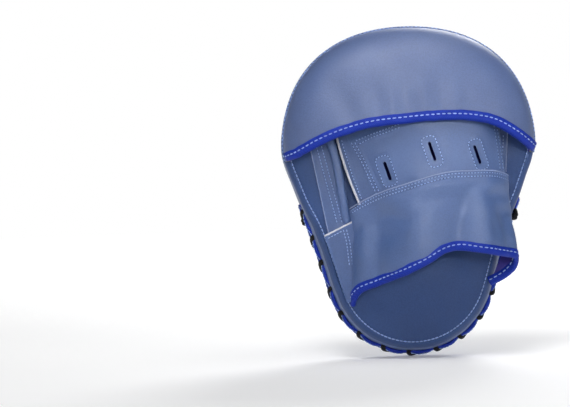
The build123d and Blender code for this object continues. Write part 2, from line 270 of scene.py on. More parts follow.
def mesh_object(name, points, faces, smooth=True):
    mesh = bpy.data.meshes.new(name)
    mesh.from_pydata([tuple(p) for p in place(points)], [], [tuple(f) for f in faces])
    mesh.validate()
    piece = bpy.data.objects.new(name, mesh)
    bpy.context.scene.collection.objects.link(piece)
    if smooth:
        mesh.polygons.foreach_set("use_smooth", [True] * len(mesh.polygons))
    return piece


def grid_faces(rows, cols, wrap_cols=False, start=0):
    faces = []
    for r in range(rows - 1):
        for c in range(cols if wrap_cols else cols - 1):
            corner = start + r * cols + c
            beside = start + r * cols + (c + 1) % cols
            faces.append((corner, beside, beside + cols, corner + cols))
    return faces


def face_outward(piece, away_from):
    """Turn the faces so that, on the whole, they look away from a point (x, y, h)."""
    origin = Vector(place(away_from)[0])
    total = sum((p.center - origin).normalized().dot(p.normal) * p.area for p in piece.data.polygons)
    if total < 0:
        piece.data.flip_normals()
    return piece


def grid_object(name, grid, away_from):
    piece = mesh_object(name, grid.reshape(-1, 3), grid_faces(*grid.shape[:2]))
    return face_outward(piece, away_from)


def bake_modifiers(piece):
    graph = bpy.context.evaluated_depsgraph_get()
    graph.update()
    mesh = bpy.data.meshes.new_from_object(piece.evaluated_get(graph), depsgraph=graph)
    piece.modifiers.clear()
    old = piece.data
    piece.data = mesh
    bpy.data.meshes.remove(old)
    return piece


def thicken(piece, thickness, edge_slot=0):
    """Give a sheet its thickness, inward from the faces' normals."""
    solid = piece.modifiers.new("thickness", "SOLIDIFY")
    solid.thickness = thickness * MM
    solid.offset = -1
    solid.use_even_offset = False
    solid.material_offset_rim = edge_slot
    bake_modifiers(piece)
    for polygon in piece.data.polygons:
        polygon.use_smooth = True
    return piece


def sharpen(piece):
    """Mark the edges that a sheet's thickness makes, so that its faces shade smoothly."""
    mesh = bmesh.new()
    mesh.from_mesh(piece.data)
    for edge in mesh.edges:
        if len(edge.link_faces) == 2 and edge.calc_face_angle(0) > SHARP_ANGLE:
            edge.smooth = False
    mesh.to_mesh(piece.data)
    mesh.free()
    return piece


def point_outward(piece):
    """Turn the faces of a closed mesh outward."""
    mesh = bmesh.new()
    mesh.from_mesh(piece.data)
    bmesh.ops.recalc_face_normals(mesh, faces=mesh.faces)
    mesh.to_mesh(piece.data)
    mesh.free()
    return piece


def sweep(name, centres, sides, normals, section):
    """Carry a section of (side, normal) points along a line."""
    section = np.asarray(section, float)
    rows = centres[:, None] + sides[:, None] * section[:, :1] + normals[:, None] * section[:, 1:]
    count, ring = len(centres), len(section)
    faces = grid_faces(count, ring, wrap_cols=True)
    faces.append(tuple(range(ring))[::-1])
    faces.append(tuple((count - 1) * ring + k for k in range(ring)))
    return point_outward(mesh_object(name, rows.reshape(-1, 3), faces))


def tube(name, line, radius, ring=10, flatten=1.0):
    """Round or oval cord along a line."""
    line = np.asarray(line, float)
    tangent = unit(np.gradient(line, axis=0))
    reference = np.array([0.0, 1.0, 0.0])
    side = np.cross(tangent, reference)
    weak = np.linalg.norm(side, axis=1) < 0.15
    side[weak] = np.cross(tangent[weak], np.array([1.0, 0.0, 0.0]))
    side = unit(side)
    for i in range(1, len(side)):
        kept = side[i - 1] - tangent[i] * (side[i - 1] @ tangent[i])
        if np.linalg.norm(kept) > 1e-6:
            side[i] = kept / np.linalg.norm(kept)
    normal = np.cross(tangent, side)
    angles = np.linspace(0, 2 * math.pi, ring, endpoint=False)
    section = np.stack([np.cos(angles) * radius, np.sin(angles) * radius * flatten], axis=1)
    return sweep(name, line, side, normal, section)


STITCH_RING = ((0.0, -1.0), (0.75, -0.75), (1.0, 0.0), (0.75, 0.75), (0.0, 1.0), (-0.75, 0.75),
               (-1.0, 0.0), (-0.75, -0.75))
STITCH_PROFILE = ((-0.5, 0.35), (-0.4, 0.8), (0.0, 1.0), (0.4, 0.8), (0.5, 0.35))
HOLE_SIDES = 8


def needle_hole(spot, direction, side, up, width):
    """A dark pricked hole, as a low dome that sits on the surface."""
    ring = []
    for k in range(HOLE_SIDES):
        turn = 2 * math.pi * k / HOLE_SIDES
        ring.append(spot + direction * math.cos(turn) * width * 0.62 + side * math.sin(turn) * width * 0.66
                    - up * 0.25 * width)
    return [*ring, spot + up * 0.1 * width]


def stitch_rows(name, lines, pitch=STITCH_PITCH, length=STITCH_LENGTH, width=STITCH_WIDTH, seed=1):
    """Sewing stitches and their needle holes along lines, each given as (points, normals)."""
    rng = random.Random(seed)
    points, faces, slots = [], [], []
    ring = len(STITCH_RING)
    for line, normals in lines:
        joined = resample(np.hstack([line, normals]), spacing=pitch)
        for first, last in zip(joined, joined[1:]):
            middle = (first[:3] + last[:3]) / 2
            up = unit(first[3:] + last[3:])
            direction = unit(last[:3] - first[:3])
            side = np.cross(direction, up)
            direction = unit(direction + side * rng.uniform(-0.06, 0.06))
            stretch = length * rng.uniform(0.93, 1.05)
            start = len(points)
            for along, girth in STITCH_PROFILE:
                sag = -0.28 * width * (1 - girth)
                centre = middle + direction * along * stretch + up * (0.12 * width + sag)
                for across, rise in STITCH_RING:
                    aside = side * across * girth * width / 2
                    points.append(centre + aside + up * rise * girth * width * 0.42)
            body = grid_faces(len(STITCH_PROFILE), ring, wrap_cols=True, start=start)
            body.append(tuple(start + k for k in range(ring))[::-1])
            body.append(tuple(start + (len(STITCH_PROFILE) - 1) * ring + k for k in range(ring)))
            start = len(points)
            points += needle_hole(first[:3], direction, side, up, width)
            pit = [(start + k, start + (k + 1) % HOLE_SIDES, start + HOLE_SIDES) for k in range(HOLE_SIDES)]
            faces += body + pit
            slots += [0] * len(body) + [1] * len(pit)
    piece = mesh_object(name, np.array(points), faces)
    piece.data.materials.append(thread_material())
    piece.data.materials.append(hole_material())
    piece.data.polygons.foreach_set("material_index", slots)
    return piece


def crease(piece, lines):
    """Pull a soft surface in along its rows of sewing."""
    samples = []
    for line, normals in lines:
        spots = resample(line, spacing=CREASE_SPACING)
        samples.append(np.hstack([spots, resample(normals, count=len(spots))]))
    samples = np.vstack(samples)
    tree = KDTree(len(samples))
    for index, sample in enumerate(samples):
        tree.insert(Vector(sample[:3]), index)
    tree.balance()
    for vertex in piece.data.vertices:
        spot = np.array(vertex.co) / MM - np.array([0.0, 0.0, BOTTOM])
        _, index, distance = tree.find(Vector(spot))
        if distance < 2 * CREASE_REACH:
            pull = CREASE_DEPTH * math.exp(-((distance / CREASE_REACH) ** 2))
            vertex.co -= Vector(samples[index, 3:] * pull * MM)


def raw_ribbon(name, lines, width, material, body=None, blend=None):
    """The pale cut edge of a leather sheet, as a narrow band along each line."""
    ribbons = []
    for index, (line, normals) in enumerate(lines):
        line = resample(line, spacing=1.2)
        normals = unit(resample(normals, count=len(line)))
        tangent = unit(np.gradient(line, axis=0))
        sides = unit(np.cross(tangent, normals))
        rng = np.random.default_rng(index + 40)
        line = line + sides * rng.normal(0, 0.07, len(line))[:, None]
        half = width / 2
        section = ((-half, -0.5), (-half, 0.15), (-half * 0.6, 0.3),
                   (half * 0.6, 0.3), (half, 0.15), (half, -0.5))
        ribbons.append(sweep(f"{name}_{index}", line, sides, normals, section))
    piece = join(name, ribbons) if len(ribbons) > 1 else ribbons[0]
    piece.name = name
    piece.data.materials.clear()
    piece.data.materials.append(material)
    finish_piece(piece, body, blend=blend)


def join(name, pieces):
    """Several meshes as one piece, each keeping its materials."""
    bpy.ops.object.select_all(action="DESELECT")
    for piece in pieces:
        piece.select_set(True)
    bpy.context.view_layer.objects.active = pieces[0]
    bpy.ops.object.join()
    joined = bpy.context.view_layer.objects.active
    joined.name = name
    return joined


# ---------------------------------------------------------------- materials

MIX_FIRST, MIX_SECOND, MIX_RESULT = 6, 7, 2     # the mix node's colour sockets


def srgb(red, green, blue):
    """Screen colour, 0 to 255, as a linear colour."""
    values = []
    for value in (red, green, blue):
        c = value / 255
        values.append(c / 12.92 if c <= 0.04045 else ((c + 0.055) / 1.055) ** 2.4)
    return (*values, 1.0)


class Nodes:
    """Short names for building one node material."""

    def __init__(self, name, roughness):
        self.material = bpy.data.materials.new(name)
        self.material.use_nodes = True
        self.tree = self.material.node_tree
        self.shader = self.tree.nodes["Principled BSDF"]
        self.shader.inputs["Roughness"].default_value = roughness
        self.coords = self.tree.nodes.new("ShaderNodeTexCoord").outputs["Object"]

    def link(self, source, target):
        self.tree.links.new(source, target)

    def noise(self, scale, detail=4.0, roughness=0.55):
        node = self.tree.nodes.new("ShaderNodeTexNoise")
        node.inputs["Scale"].default_value = scale
        node.inputs["Detail"].default_value = detail
        node.inputs["Roughness"].default_value = roughness
        self.link(self.coords, node.inputs["Vector"])
        return node.outputs["Fac"]

    def cells(self, scale, feature="F1"):
        node = self.tree.nodes.new("ShaderNodeTexVoronoi")
        node.feature = feature
        node.inputs["Scale"].default_value = scale
        self.link(self.coords, node.inputs["Vector"])
        return node.outputs["Distance"]

    def waves(self, scale, direction, distortion=0.0):
        node = self.tree.nodes.new("ShaderNodeTexWave")
        node.bands_direction = direction
        node.inputs["Scale"].default_value = scale
        node.inputs["Distortion"].default_value = distortion
        self.link(self.coords, node.inputs["Vector"])
        return node.outputs["Fac"]

    def spread(self, value, low, high, to_low=0.0, to_high=1.0):
        node = self.tree.nodes.new("ShaderNodeMapRange")
        self.link(value, node.inputs["Value"])
        for key, number in (("From Min", low), ("From Max", high), ("To Min", to_low), ("To Max", to_high)):
            node.inputs[key].default_value = number
        return node.outputs["Result"]

    def math(self, operation, a, b):
        node = self.tree.nodes.new("ShaderNodeMath")
        node.operation = operation
        for value, socket in ((a, node.inputs[0]), (b, node.inputs[1])):
            if isinstance(value, (int, float)):
                socket.default_value = value
            else:
                self.link(value, socket)
        return node.outputs[0]

    def mix(self, factor, first, second):
        node = self.tree.nodes.new("ShaderNodeMix")
        node.data_type = "RGBA"
        self.link(factor, node.inputs["Factor"])
        for value, socket in ((first, node.inputs[MIX_FIRST]), (second, node.inputs[MIX_SECOND])):
            if isinstance(value, tuple):
                socket.default_value = value
            else:
                self.link(value, socket)
        return node.outputs[MIX_RESULT]

    def bump(self, height, strength, distance):
        node = self.tree.nodes.new("ShaderNodeBump")
        node.inputs["Strength"].default_value = strength
        node.inputs["Distance"].default_value = distance
        self.link(height, node.inputs["Height"])
        self.link(node.outputs["Normal"], self.shader.inputs["Normal"])

    def colour(self, value):
        self.link(value, self.shader.inputs["Base Color"])

    def rough(self, value):
        self.link(value, self.shader.inputs["Roughness"])

    def setting(self, socket, value):
        self.shader.inputs[socket].default_value = value

    def convex(self):
        return self.tree.nodes.new("ShaderNodeNewGeometry").outputs["Pointiness"]


def shade(colour, factor):
    return (colour[0] * factor, colour[1] * factor, colour[2] * factor, 1.0)


LEATHER_RELIEF = 0.00022
# colour, roughness, grain and gloss
LEATHERS = {
    "face_leather": (srgb(80, 103, 160), 0.48, 900.0, 0.8),
    "back_leather": (srgb(68, 94, 144), 0.46, 900.0, 0.8),
    "hood_leather": (srgb(74, 93, 137), 0.5, 900.0, 0.8),
    # the back's face and rounded rim: a darker, less glossy copy of back_leather, its dark colour painted
    # shade where the cuff shades the heel
    "heel_leather_painted_shade": (srgb(44, 70, 120), 0.55, 900.0, 0.35),
    "strip_leather": (srgb(60, 86, 136), 0.5, 900.0, 0.6),
    "band_leather": (srgb(98, 112, 156), 0.42, 1100.0, 0.8),
}


@cache
def leather(name):
    """Coated leather: pebbled grain with fine creases, patchy gloss and paler rubbed edges."""
    colour, roughness, grain, gloss = LEATHERS[name]
    n = Nodes(name, roughness)
    pebbles = n.spread(n.cells(grain), 0.0, 0.75)
    creases = n.spread(n.cells(grain * 0.45, "DISTANCE_TO_EDGE"), 0.0, 0.12)
    fibre = n.noise(grain * 2.2, 5.0, 0.6)
    height = n.math("ADD", n.math("MULTIPLY", pebbles, -0.55), n.math("MULTIPLY", creases, 0.3))
    height = n.math("ADD", height, n.math("MULTIPLY", fibre, 0.35))
    n.bump(height, 0.42, LEATHER_RELIEF)
    patches = n.spread(n.noise(26.0, 3.0, 0.5), 0.3, 0.7)
    base = n.mix(patches, shade(colour, 0.93), shade(colour, 1.07))
    worn = n.spread(n.convex(), 0.515, 0.57, 0.0, 0.38)
    base = n.mix(worn, base, shade(colour, 1.75))
    pits = n.spread(pebbles, 0.35, 1.0, 0.0, 0.32)
    n.colour(n.mix(pits, base, shade(colour, 0.62)))
    n.rough(n.spread(n.noise(60.0, 4.0, 0.6), 0.3, 0.7, roughness - 0.07, roughness + 0.08))
    n.setting("Specular IOR Level", gloss)
    n.setting("Sheen Weight", 0.08)
    n.setting("Sheen Roughness", 0.45)
    return n.material


@cache
def lining_material():
    """Smooth violet-blue lining cloth."""
    colour = srgb(48, 40, 128)
    n = Nodes("lining_cloth", 0.6)
    weave = n.math("MULTIPLY", n.waves(520.0, "X"), n.waves(520.0, "Z"))
    n.bump(weave, 0.35, 0.00015)
    n.colour(n.mix(n.spread(n.noise(40.0), 0.3, 0.7), shade(colour, 0.8), shade(colour, 1.15)))
    return n.material


@cache
def foam_material(name, colour):
    """Closed-cell foam with fine open pores at the cut."""
    n = Nodes(name, 0.85)
    pores = n.cells(700.0)
    n.bump(n.math("ADD", pores, n.noise(2200.0)), 0.6, 0.0003)
    n.colour(n.mix(n.spread(pores, 0.1, 0.6), shade(colour, 0.7), shade(colour, 1.1)))
    return n.material


@cache
def thread_material():
    """Twisted pale blue sewing thread."""
    colour = srgb(136, 163, 216)
    n = Nodes("sewing_thread", 0.55)
    twist = n.waves(900.0, "DIAGONAL", 0.6)
    n.bump(twist, 0.5, 0.0001)
    n.colour(n.mix(n.spread(n.noise(150.0), 0.3, 0.7), shade(colour, 0.8), shade(colour, 1.15)))
    n.setting("Sheen Weight", 0.3)
    return n.material


@cache
def hole_material():
    """Shadowed needle hole."""
    colour = srgb(30, 42, 86)
    n = Nodes("needle_hole", 0.7)
    n.colour(n.mix(n.spread(n.noise(900.0), 0.3, 0.7), shade(colour, 0.7), shade(colour, 1.2)))
    return n.material


@cache
def raw_edge_material(name="raw_edge", colour=srgb(214, 216, 226)):
    """Pale cut edge of coated leather, with its fibres."""
    n = Nodes(name, 0.85)
    fibres = n.noise(2600.0, 6.0, 0.7)
    n.bump(fibres, 0.6, 0.0003)
    n.colour(n.mix(n.spread(fibres, 0.35, 0.65), shade(colour, 0.62), shade(colour, 1.08)))
    return n.material


def dull_edge_material():
    """Cut edge that has taken up some of the coating's colour."""
    return raw_edge_material("dull_edge", srgb(142, 156, 194))


@cache
def disc_material():
    """White coated vinyl, with faint scuffs."""
    colour = srgb(243, 242, 240)
    n = Nodes("white_vinyl", 0.5)
    n.bump(n.math("ADD", n.cells(900.0), n.noise(1800.0)), 0.25, 0.00012)
    scuffs = n.spread(n.noise(120.0, 6.0, 0.7), 0.58, 0.75, 0.0, 0.25)
    n.colour(n.mix(scuffs, colour, shade(colour, 0.8)))
    n.rough(n.spread(n.noise(70.0), 0.3, 0.7, 0.42, 0.6))
    return n.material


@cache
def lace_material():
    """Black braided cord."""
    colour = srgb(6, 7, 12)
    n = Nodes("black_braid", 0.7)
    braid = n.math("MAXIMUM", n.waves(260.0, "DIAGONAL", 2.0), n.waves(300.0, "Y", 2.0))
    n.bump(n.math("ADD", braid, n.noise(2500.0)), 0.7, 0.0003)
    n.colour(n.mix(n.spread(braid, 0.2, 1.0), shade(colour, 0.5), shade(colour, 2.0)))
    n.setting("Specular IOR Level", 0.25)
    return n.material


@cache
def blue_tape():
    """Ribbed woven tape."""
    colour = srgb(3, 44, 160)
    n = Nodes("blue_tape", 0.62)
    warp = n.waves(420.0, "DIAGONAL", 1.2)
    weft = n.waves(300.0, "Z", 1.0)
    fuzz = n.noise(3200.0, 4.0, 0.7)
    weave = n.math("ADD", n.math("MULTIPLY", warp, 0.5), n.math("MULTIPLY", weft, 0.4))
    weave = n.math("ADD", weave, n.math("MULTIPLY", fuzz, 0.4))
    n.bump(weave, 0.5, 0.00025)
    base = n.mix(n.spread(weave, 0.3, 1.1), shade(colour, 0.62), shade(colour, 1.15))
    n.colour(n.mix(n.spread(n.noise(45.0), 0.35, 0.7, 0.0, 0.3), base, shade(colour, 0.75)))
    n.setting("Specular IOR Level", 0.3)
    return n.material


# ---------------------------------------------------------------- pad

def pad_ring(inset, y, wave=0.0):
    """The outline moved inward by inset, at one depth y. The back narrows a little round the heel."""
    taper = HEEL_TAPER * smoothstep(-SEAM, -BACK, -y) * smoothstep(-128, -96, -OUTLINE[:, 1])
    points = OUTLINE - OUTLINE_NORMAL * (inset + wave + taper)[:, None]
    return np.stack([points[:, 0], np.full(len(points), y), points[:, 1]], axis=1)


def sew_waves(seed, size):
    """Slow, uneven waves round the outline."""
    rng = np.random.default_rng(seed)
    turn = np.linspace(0, 2 * math.pi, PERIMETER_POINTS, endpoint=False)
    total = np.zeros(PERIMETER_POINTS)
    for k in range(5, 46, 4):
        total += rng.normal() * np.sin(k * turn + rng.uniform(0, 6.28)) / math.sqrt(k)
    return total / np.abs(total).max() * size


def capped_shell(name, profile, flat_y, bulge):
    """Rings along a profile of (inset, y), closed by rings that shrink to the middle."""
    waves = sew_waves(sum(map(ord, name)), 0.35)
    rings = []
    for step, (inset, y) in enumerate(profile):
        fade = min(1.0, step / 3)
        rings.append(pad_ring(inset, y, waves * fade))
    last = rings[-1]
    flat = last[:, [0, 2]] - MIDDLE
    for share in np.linspace(1, 0, 34)[1:-1]:
        spot = MIDDLE + flat * share
        y = flat_y + bulge(spot[:, 0], spot[:, 1], share)
        rings.append(np.stack([spot[:, 0], y, spot[:, 1]], axis=1))
    centre_y = flat_y + float(bulge(MIDDLE[0], MIDDLE[1], 0.0))
    points = np.concatenate(rings + [[[MIDDLE[0], centre_y, MIDDLE[1]]]])
    count = PERIMETER_POINTS
    faces = grid_faces(len(rings), count, wrap_cols=True)
    start = (len(rings) - 1) * count
    faces += [(start + i, start + (i + 1) % count, len(points) - 1) for i in range(count)]
    return face_outward(mesh_object(name, points, faces), (0, SEAM, MIDDLE[1]))


FRONT_PROFILE = ((2.4, SEAM + 0.2), (0.9, SEAM + 0.3), (0.2, SEAM + 0.9), (-0.2, SEAM + 3),
                 (-0.4, SEAM + 7), (-0.5, SEAM + 10), (-0.2, SEAM + 13), (0.5, SEAM + 15.2),
                 (1.2, SEAM + 16.6), (1.9, SEAM + 17.3), (2.3, SEAM + 17.6), (2.2, SEAM + 18.2),
                 (2.3, SEAM + 19.2), (3.0, FACE - 3.7), (4.2, FACE - 2.4), (5.9, FACE - 1.3),
                 (8.2, FACE - 0.5), (11, FACE), (15, FACE + 0.35), (20, FACE + 0.6))
BACK_PROFILE = ((2.4, SEAM - 0.2), (0.9, SEAM - 0.3), (0.2, SEAM - 0.9), (-0.2, SEAM - 3),
                (-0.3, SEAM - 8), (-0.1, SEAM - 12), (0.4, BACK + 5.2), (1.0, BACK + 3.4),
                (1.9, BACK + 2.1), (3.0, BACK + 1.1), (3.9, BACK + 0.4), (4.7, BACK + 0.15),
                (5.4, BACK + 0.45), (6.0, BACK + 0.5), (6.8, BACK + 0.1), (9, BACK - 0.4),
                (13, BACK - 0.6), (17, BACK - 0.7))


def face_bulge(x, h, share):
    """The face swells a little over its foam, with faint dents."""
    dents = 0.25 * np.sin(x / 21.0 + 1.3) * np.sin(h / 26.0 + 0.4)
    return 0.6 + (1 - share**2) * 1.6 + dents * (1 - share**4)


def back_bulge(x, h, share):
    """The heel of the back swells below the cuff, and the part under the hand is flat."""
    heel = smoothstep(-104, -62, -h) * (1 - share**3)
    return -0.7 - HEEL_BULGE * heel


def pad_cover(name, node, profile, y, bulge, looks, band_rings):
    """A cover: one leather on its flat side, another on the first rings of its side band."""
    piece = capped_shell(name, profile, y, bulge)
    for look in looks:
        piece.data.materials.append(leather(look))
    for polygon in piece.data.polygons:
        polygon.material_index = 1 if polygon.index < band_rings * PERIMETER_POINTS else 0
    return finish_piece(piece, "pad", [node])


def foam_layer(name, node, near, far, inset, colour):
    """One foam sheet with softly rounded cut edges."""
    edge = ((12, 0.0), (3, 0.0), (0.8, 0.5), (0, 1.8))
    rings = [pad_ring(inset + move, near + rise) for move, rise in edge]
    rings += [pad_ring(inset + move, far - rise) for move, rise in reversed(edge)]
    points = np.concatenate(rings + [[[0, near, MIDDLE[1]]], [[0, far, MIDDLE[1]]]])
    count = PERIMETER_POINTS
    faces = grid_faces(len(rings), count, wrap_cols=True)
    last = (len(rings) - 1) * count
    middle = len(points) - 2
    faces += [(i, middle, (i + 1) % count) for i in range(count)]
    faces += [(last + i, last + (i + 1) % count, middle + 1) for i in range(count)]
    piece = face_outward(mesh_object(name, points, faces), (0, (near + far) / 2, MIDDLE[1]))
    piece.data.materials.append(foam_material(name + "_foam", colour))
    return finish_piece(piece, "pad", [node])


# piece, node, near side, far side, inset and colour
FOAM_LAYERS = (
    ("back_foam_sheet", "back_foam", BACK + 2.2, 31.0, 3.0, srgb(60, 62, 70)),
    ("core_foam_block", "core_foam", 31.2, 51.0, 3.0, srgb(96, 98, 104)),
    ("face_foam_sheet", "face_foam", 51.2, 61.0, 7.5, srgb(190, 190, 196)),
)


def finish_piece(piece, body, nodes=(), blend=None):
    """Tie a piece to its body, or bake its place into its mesh when it is blended, and hide the CAD nodes it
    stands for.
    """
    if blend:
        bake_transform(piece)
    else:
        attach(piece, body)
    if nodes:
        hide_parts(*nodes)
    return piece


def pad_seam_line(inset, y, normal_y, normal_out):
    """A closed line on the pad's edge, with its normals."""
    ring = pad_ring(inset, y)
    closed = np.vstack([ring, ring[:1]])
    out = np.vstack([OUTLINE_NORMAL, OUTLINE_NORMAL[:1]])
    normals = np.stack([out[:, 0] * normal_out, np.full(len(out), normal_y), out[:, 1] * normal_out], axis=1)
    return closed, unit(normals)


def pad_stitches():
    face_row = pad_seam_line(1.7, SEAM + 19.3, 0.25, 1.0)
    band_row = pad_seam_line(-0.1, SEAM + 13.6, 0.1, 1.0)
    back_row = pad_seam_line(5.7, BACK + 0.4, -1.0, 0.0)
    piece = stitch_rows("pad_edge_stitches", [face_row, band_row, back_row], pitch=3.2, seed=3)
    finish_piece(piece, "pad")


def face_depth(cover, graph, x, h):
    """Depth of a cover's striking face at (x, h), found by a ray from in front of it."""
    origin = Vector(place((x, SEAM + RAY_START, h))[0])
    _, spot, _, _ = cover.ray_cast(origin, Vector((0, -1, 0)), depsgraph=graph)
    return spot.y / MM


def conformed_patch(name, rings, thickness, cover, edge=0.25):
    """A thin closed patch laid on the face. Rings run from the rim to the middle as (x, h) lists."""
    graph = bpy.context.evaluated_depsgraph_get()
    rows = []
    for ring in rings:
        rows.append([(x, face_depth(cover, graph, x, h) + thickness, h) for x, h in ring])
    rim = np.array(rows[0])
    middle = rim.mean(axis=0)
    skirt = rim + unit(rim - middle) * edge
    skirt[:, 1] = rim[:, 1] - thickness - 0.3
    points = np.concatenate([skirt, *[np.array(r) for r in rows]])
    count = len(rim)
    faces = grid_faces(len(rows) + 1, count, wrap_cols=True)
    last = len(rows) * count
    faces.append(tuple(last + i for i in range(count)))
    return face_outward(mesh_object(name, points, faces), (middle[0], middle[1] - 20, middle[2]))


def target_disc(cover):
    low, high = box_mm("target_disc")
    centre = ((low[0] + high[0]) / 2, (low[2] + high[2]) / 2 - BOTTOM)
    radius = (high[0] - low[0]) / 2
    rings = []
    for share in (1.0, 0.985, 0.9, 0.75, 0.6, 0.45, 0.3, 0.15, 0.04):
        angles = np.linspace(0, 2 * math.pi, 96, endpoint=False)
        rings.append([(centre[0] + radius * share * math.cos(a), centre[1] + radius * share * math.sin(a))
                      for a in angles])
    piece = conformed_patch("target_disc_vinyl", rings, 0.55, cover, edge=0.5)
    piece.data.materials.append(disc_material())
    finish_piece(piece, "pad", ["target_disc"])


def emblem(cover):
    """A plain star between tapering bars, printed on the face."""
    star = []
    for corner in range(10):
        radius = STAR_OUTER if corner % 2 == 0 else STAR_INNER
        angle = math.pi / 2 + corner * math.pi / 5
        star.append((radius * math.cos(angle), STAR_HEIGHT + radius * math.sin(angle)))
    shapes = [star]
    for side in (-1, 1):
        for above, length in BARS:
            inner, outer, level_at = side * BAR_START, side * (BAR_START + length), STAR_HEIGHT + above
            shapes.append([(inner, level_at + BAR_WIDE_HALF), (outer, level_at + BAR_NARROW_HALF),
                           (outer, level_at - BAR_NARROW_HALF), (inner, level_at - BAR_WIDE_HALF)])
    pieces = []
    for index, shape in enumerate(shapes):
        loop = resample(np.array(shape + shape[:1]), spacing=1.5)[:-1]
        centre = loop.mean(axis=0)
        rings = []
        for share in (1.0, 0.8, 0.55, 0.3, 0.08):
            rings.append([tuple(centre + (p - centre) * share) for p in loop])
        pieces.append(conformed_patch(f"emblem_{index}", rings, 0.18, cover, edge=0.05))
    piece = join("emblem_white_print", pieces)
    piece.data.materials.clear()
    piece.data.materials.append(disc_material())
    finish_piece(piece, "pad", ["emblem_print"])


# ---------------------------------------------------------------- side tapes and lace

def side_frame(distance):
    """Centres, side and outward directions along the laced side wall."""
    spots, normals = side_point(distance)
    centres = np.stack([spots[:, 0], np.full(len(spots), SEAM), spots[:, 1]], axis=1)
    outward = np.stack([normals[:, 0], np.zeros(len(spots)), normals[:, 1]], axis=1)
    return centres, outward


def tape_puff(distance, side):
    """How far a tape stands out, pulled in under each lace stroke."""
    phase = (distance + LACED_HALF - LACE_LEAN * side) / LACE_PITCH
    pull = 0.5 + 0.5 * np.cos(2 * math.pi * phase)
    return 0.3 - 1.9 * pull**2


def edge_tape(name, node, side):
    """Folded tape on one cover's edge, pulled in under each lace stroke."""
    reach = TAPED_HALF
    distance = np.linspace(-reach, reach, 420)
    centres, outward = side_frame(distance)
    rng = np.random.default_rng(11 + side)
    sway = np.interp(distance, np.linspace(-reach, reach, 60), rng.normal(0, 0.16, 60))
    centres = centres + outward * (tape_puff(distance, side) + sway)[:, None]
    across = np.tile(np.array([0.0, side, 0.0]), (len(distance), 1))
    section = ((0.35, -2.6), (0.25, -0.6), (0.5, 0.8), (1.2, 1.45), (3.0, 1.8), (5.6, 1.75), (7.4, 1.4),
               (8.3, 0.75), (8.5, -0.1), (8.2, -1.2), (5.0, -1.4), (2.0, -1.6))
    piece = sweep(name, centres, across, outward, section)
    piece.data.materials.append(blue_tape())
    return finish_piece(piece, "pad", [node])


def tape_stitches():
    reach = TAPED_HALF - 1.0
    distance = np.linspace(-reach, reach, 400)
    lines = []
    for side in (-1, 1):
        centres, outward = side_frame(distance)
        lift = tape_puff(distance, side) + 1.75
        line = centres + outward * lift[:, None] + np.array([0, side * 6.6, 0])
        lines.append((line, outward))
    piece = stitch_rows("side_tape_stitches", lines, pitch=3.0, seed=5)
    finish_piece(piece, "pad")


def lace_route():
    """Whip stitch over both tapes: out, leaning across, in, and on to the next hole."""
    lean = -LACE_LEAN
    rng = random.Random(8)
    points = []
    for stitch in range(LACE_STITCHES):
        middle = -LACED_HALF + stitch * LACE_PITCH
        slip = rng.uniform(-0.7, 0.7)
        stroke = (
            (-lean, -2.4, LACE_HOLE + 1.3),
            (-lean + slip, 0.3, LACE_HOLE + 1.3),
            (-lean * 0.7 + slip, 1.5, LACE_HOLE - 1.5),
            (slip, 1.7, 0.0),
            (lean * 0.7 + slip, 1.5, 1.5 - LACE_HOLE),
            (lean + slip, 0.2, -LACE_HOLE - 1.3),
            (lean, -2.4, -LACE_HOLE - 1.3),
        )
        for shift, lift, y in stroke:
            spot, normal = side_point(np.array([middle + shift]))
            spot = spot[0] + normal[0] * lift
            points.append((spot[0], SEAM + y, spot[1]))
    return np.array(points[1:-1])


def lace():
    route = b_spline(lace_route(), 6)
    line = resample(route, spacing=0.9)
    piece = tube("side_lace_cord", line, LACE_RADIUS, ring=12, flatten=0.85)
    piece.data.materials.append(lace_material())
    finish_piece(piece, "pad", ["side_lace"])


def lace_knots():
    """An overhand knot and a short tail at each end of the lace."""
    route = lace_route()
    knots = []
    for end, index in ((-1, 0), (1, -1)):
        spot = route[index]
        _, outward = side_point(np.array([end * LACED_HALF]))
        out = np.array([outward[0][0], 0.0, outward[0][1]])
        up = np.array([-out[2] * np.sign(out[0]), 0.0, abs(out[0])])
        depth = np.array([0.0, 1.0, 0.0])
        turn = np.linspace(0, 2 * math.pi * 1.5, 60)
        coil = np.stack([2.8 * np.cos(turn), 1.3 * np.sin(turn), np.linspace(-1.6, 2.0, 60)], axis=1)
        knot = spot + out * 1.2 + coil @ np.stack([depth, out, up])
        tail_start = knot[-1]
        tail = [tail_start + up * 2 + depth * 2, tail_start + up * 3.5 - out * 1.2 + depth * 6,
                tail_start + up * 4.5 - out * 1.5 + depth * 11]
        line = b_spline(np.vstack([knot[::4], tail]), 5)
        knots.append(tube(f"lace_knot_{index}", line, LACE_RADIUS * 0.95, ring=10))
    piece = join("lace_end_knots", knots)
    piece.data.materials.append(lace_material())
    finish_piece(piece, "pad", ["lace_knots"])


# ---------------------------------------------------------------- hood

def rim_radius(angle):
    """Distance from the hood's centre to the pad's outline in a direction."""
    order = np.argsort(OUTLINE_ANGLE)
    radii = np.hypot(OUTLINE[:, 0] - HOOD_CENTRE[0], OUTLINE[:, 1] - HOOD_CENTRE[1])
    return np.interp(angle, OUTLINE_ANGLE[order], radii[order], period=2 * math.pi)


HOOD_DIMPLES = (
    (-47, 192, 1.7, 8),
    (-26, 197, 2.3, 7.5),
    (-4, 199, 2.5, 8),
    (23, 200, 2.7, 8.5),
    (44, 199, 1.4, 8),
)
HOOD_RIDGES = (
    (-15, 195, 0.9, 6),
    (10, 197, 1.1, 7),
    (34, 196, 0.8, 7),
)


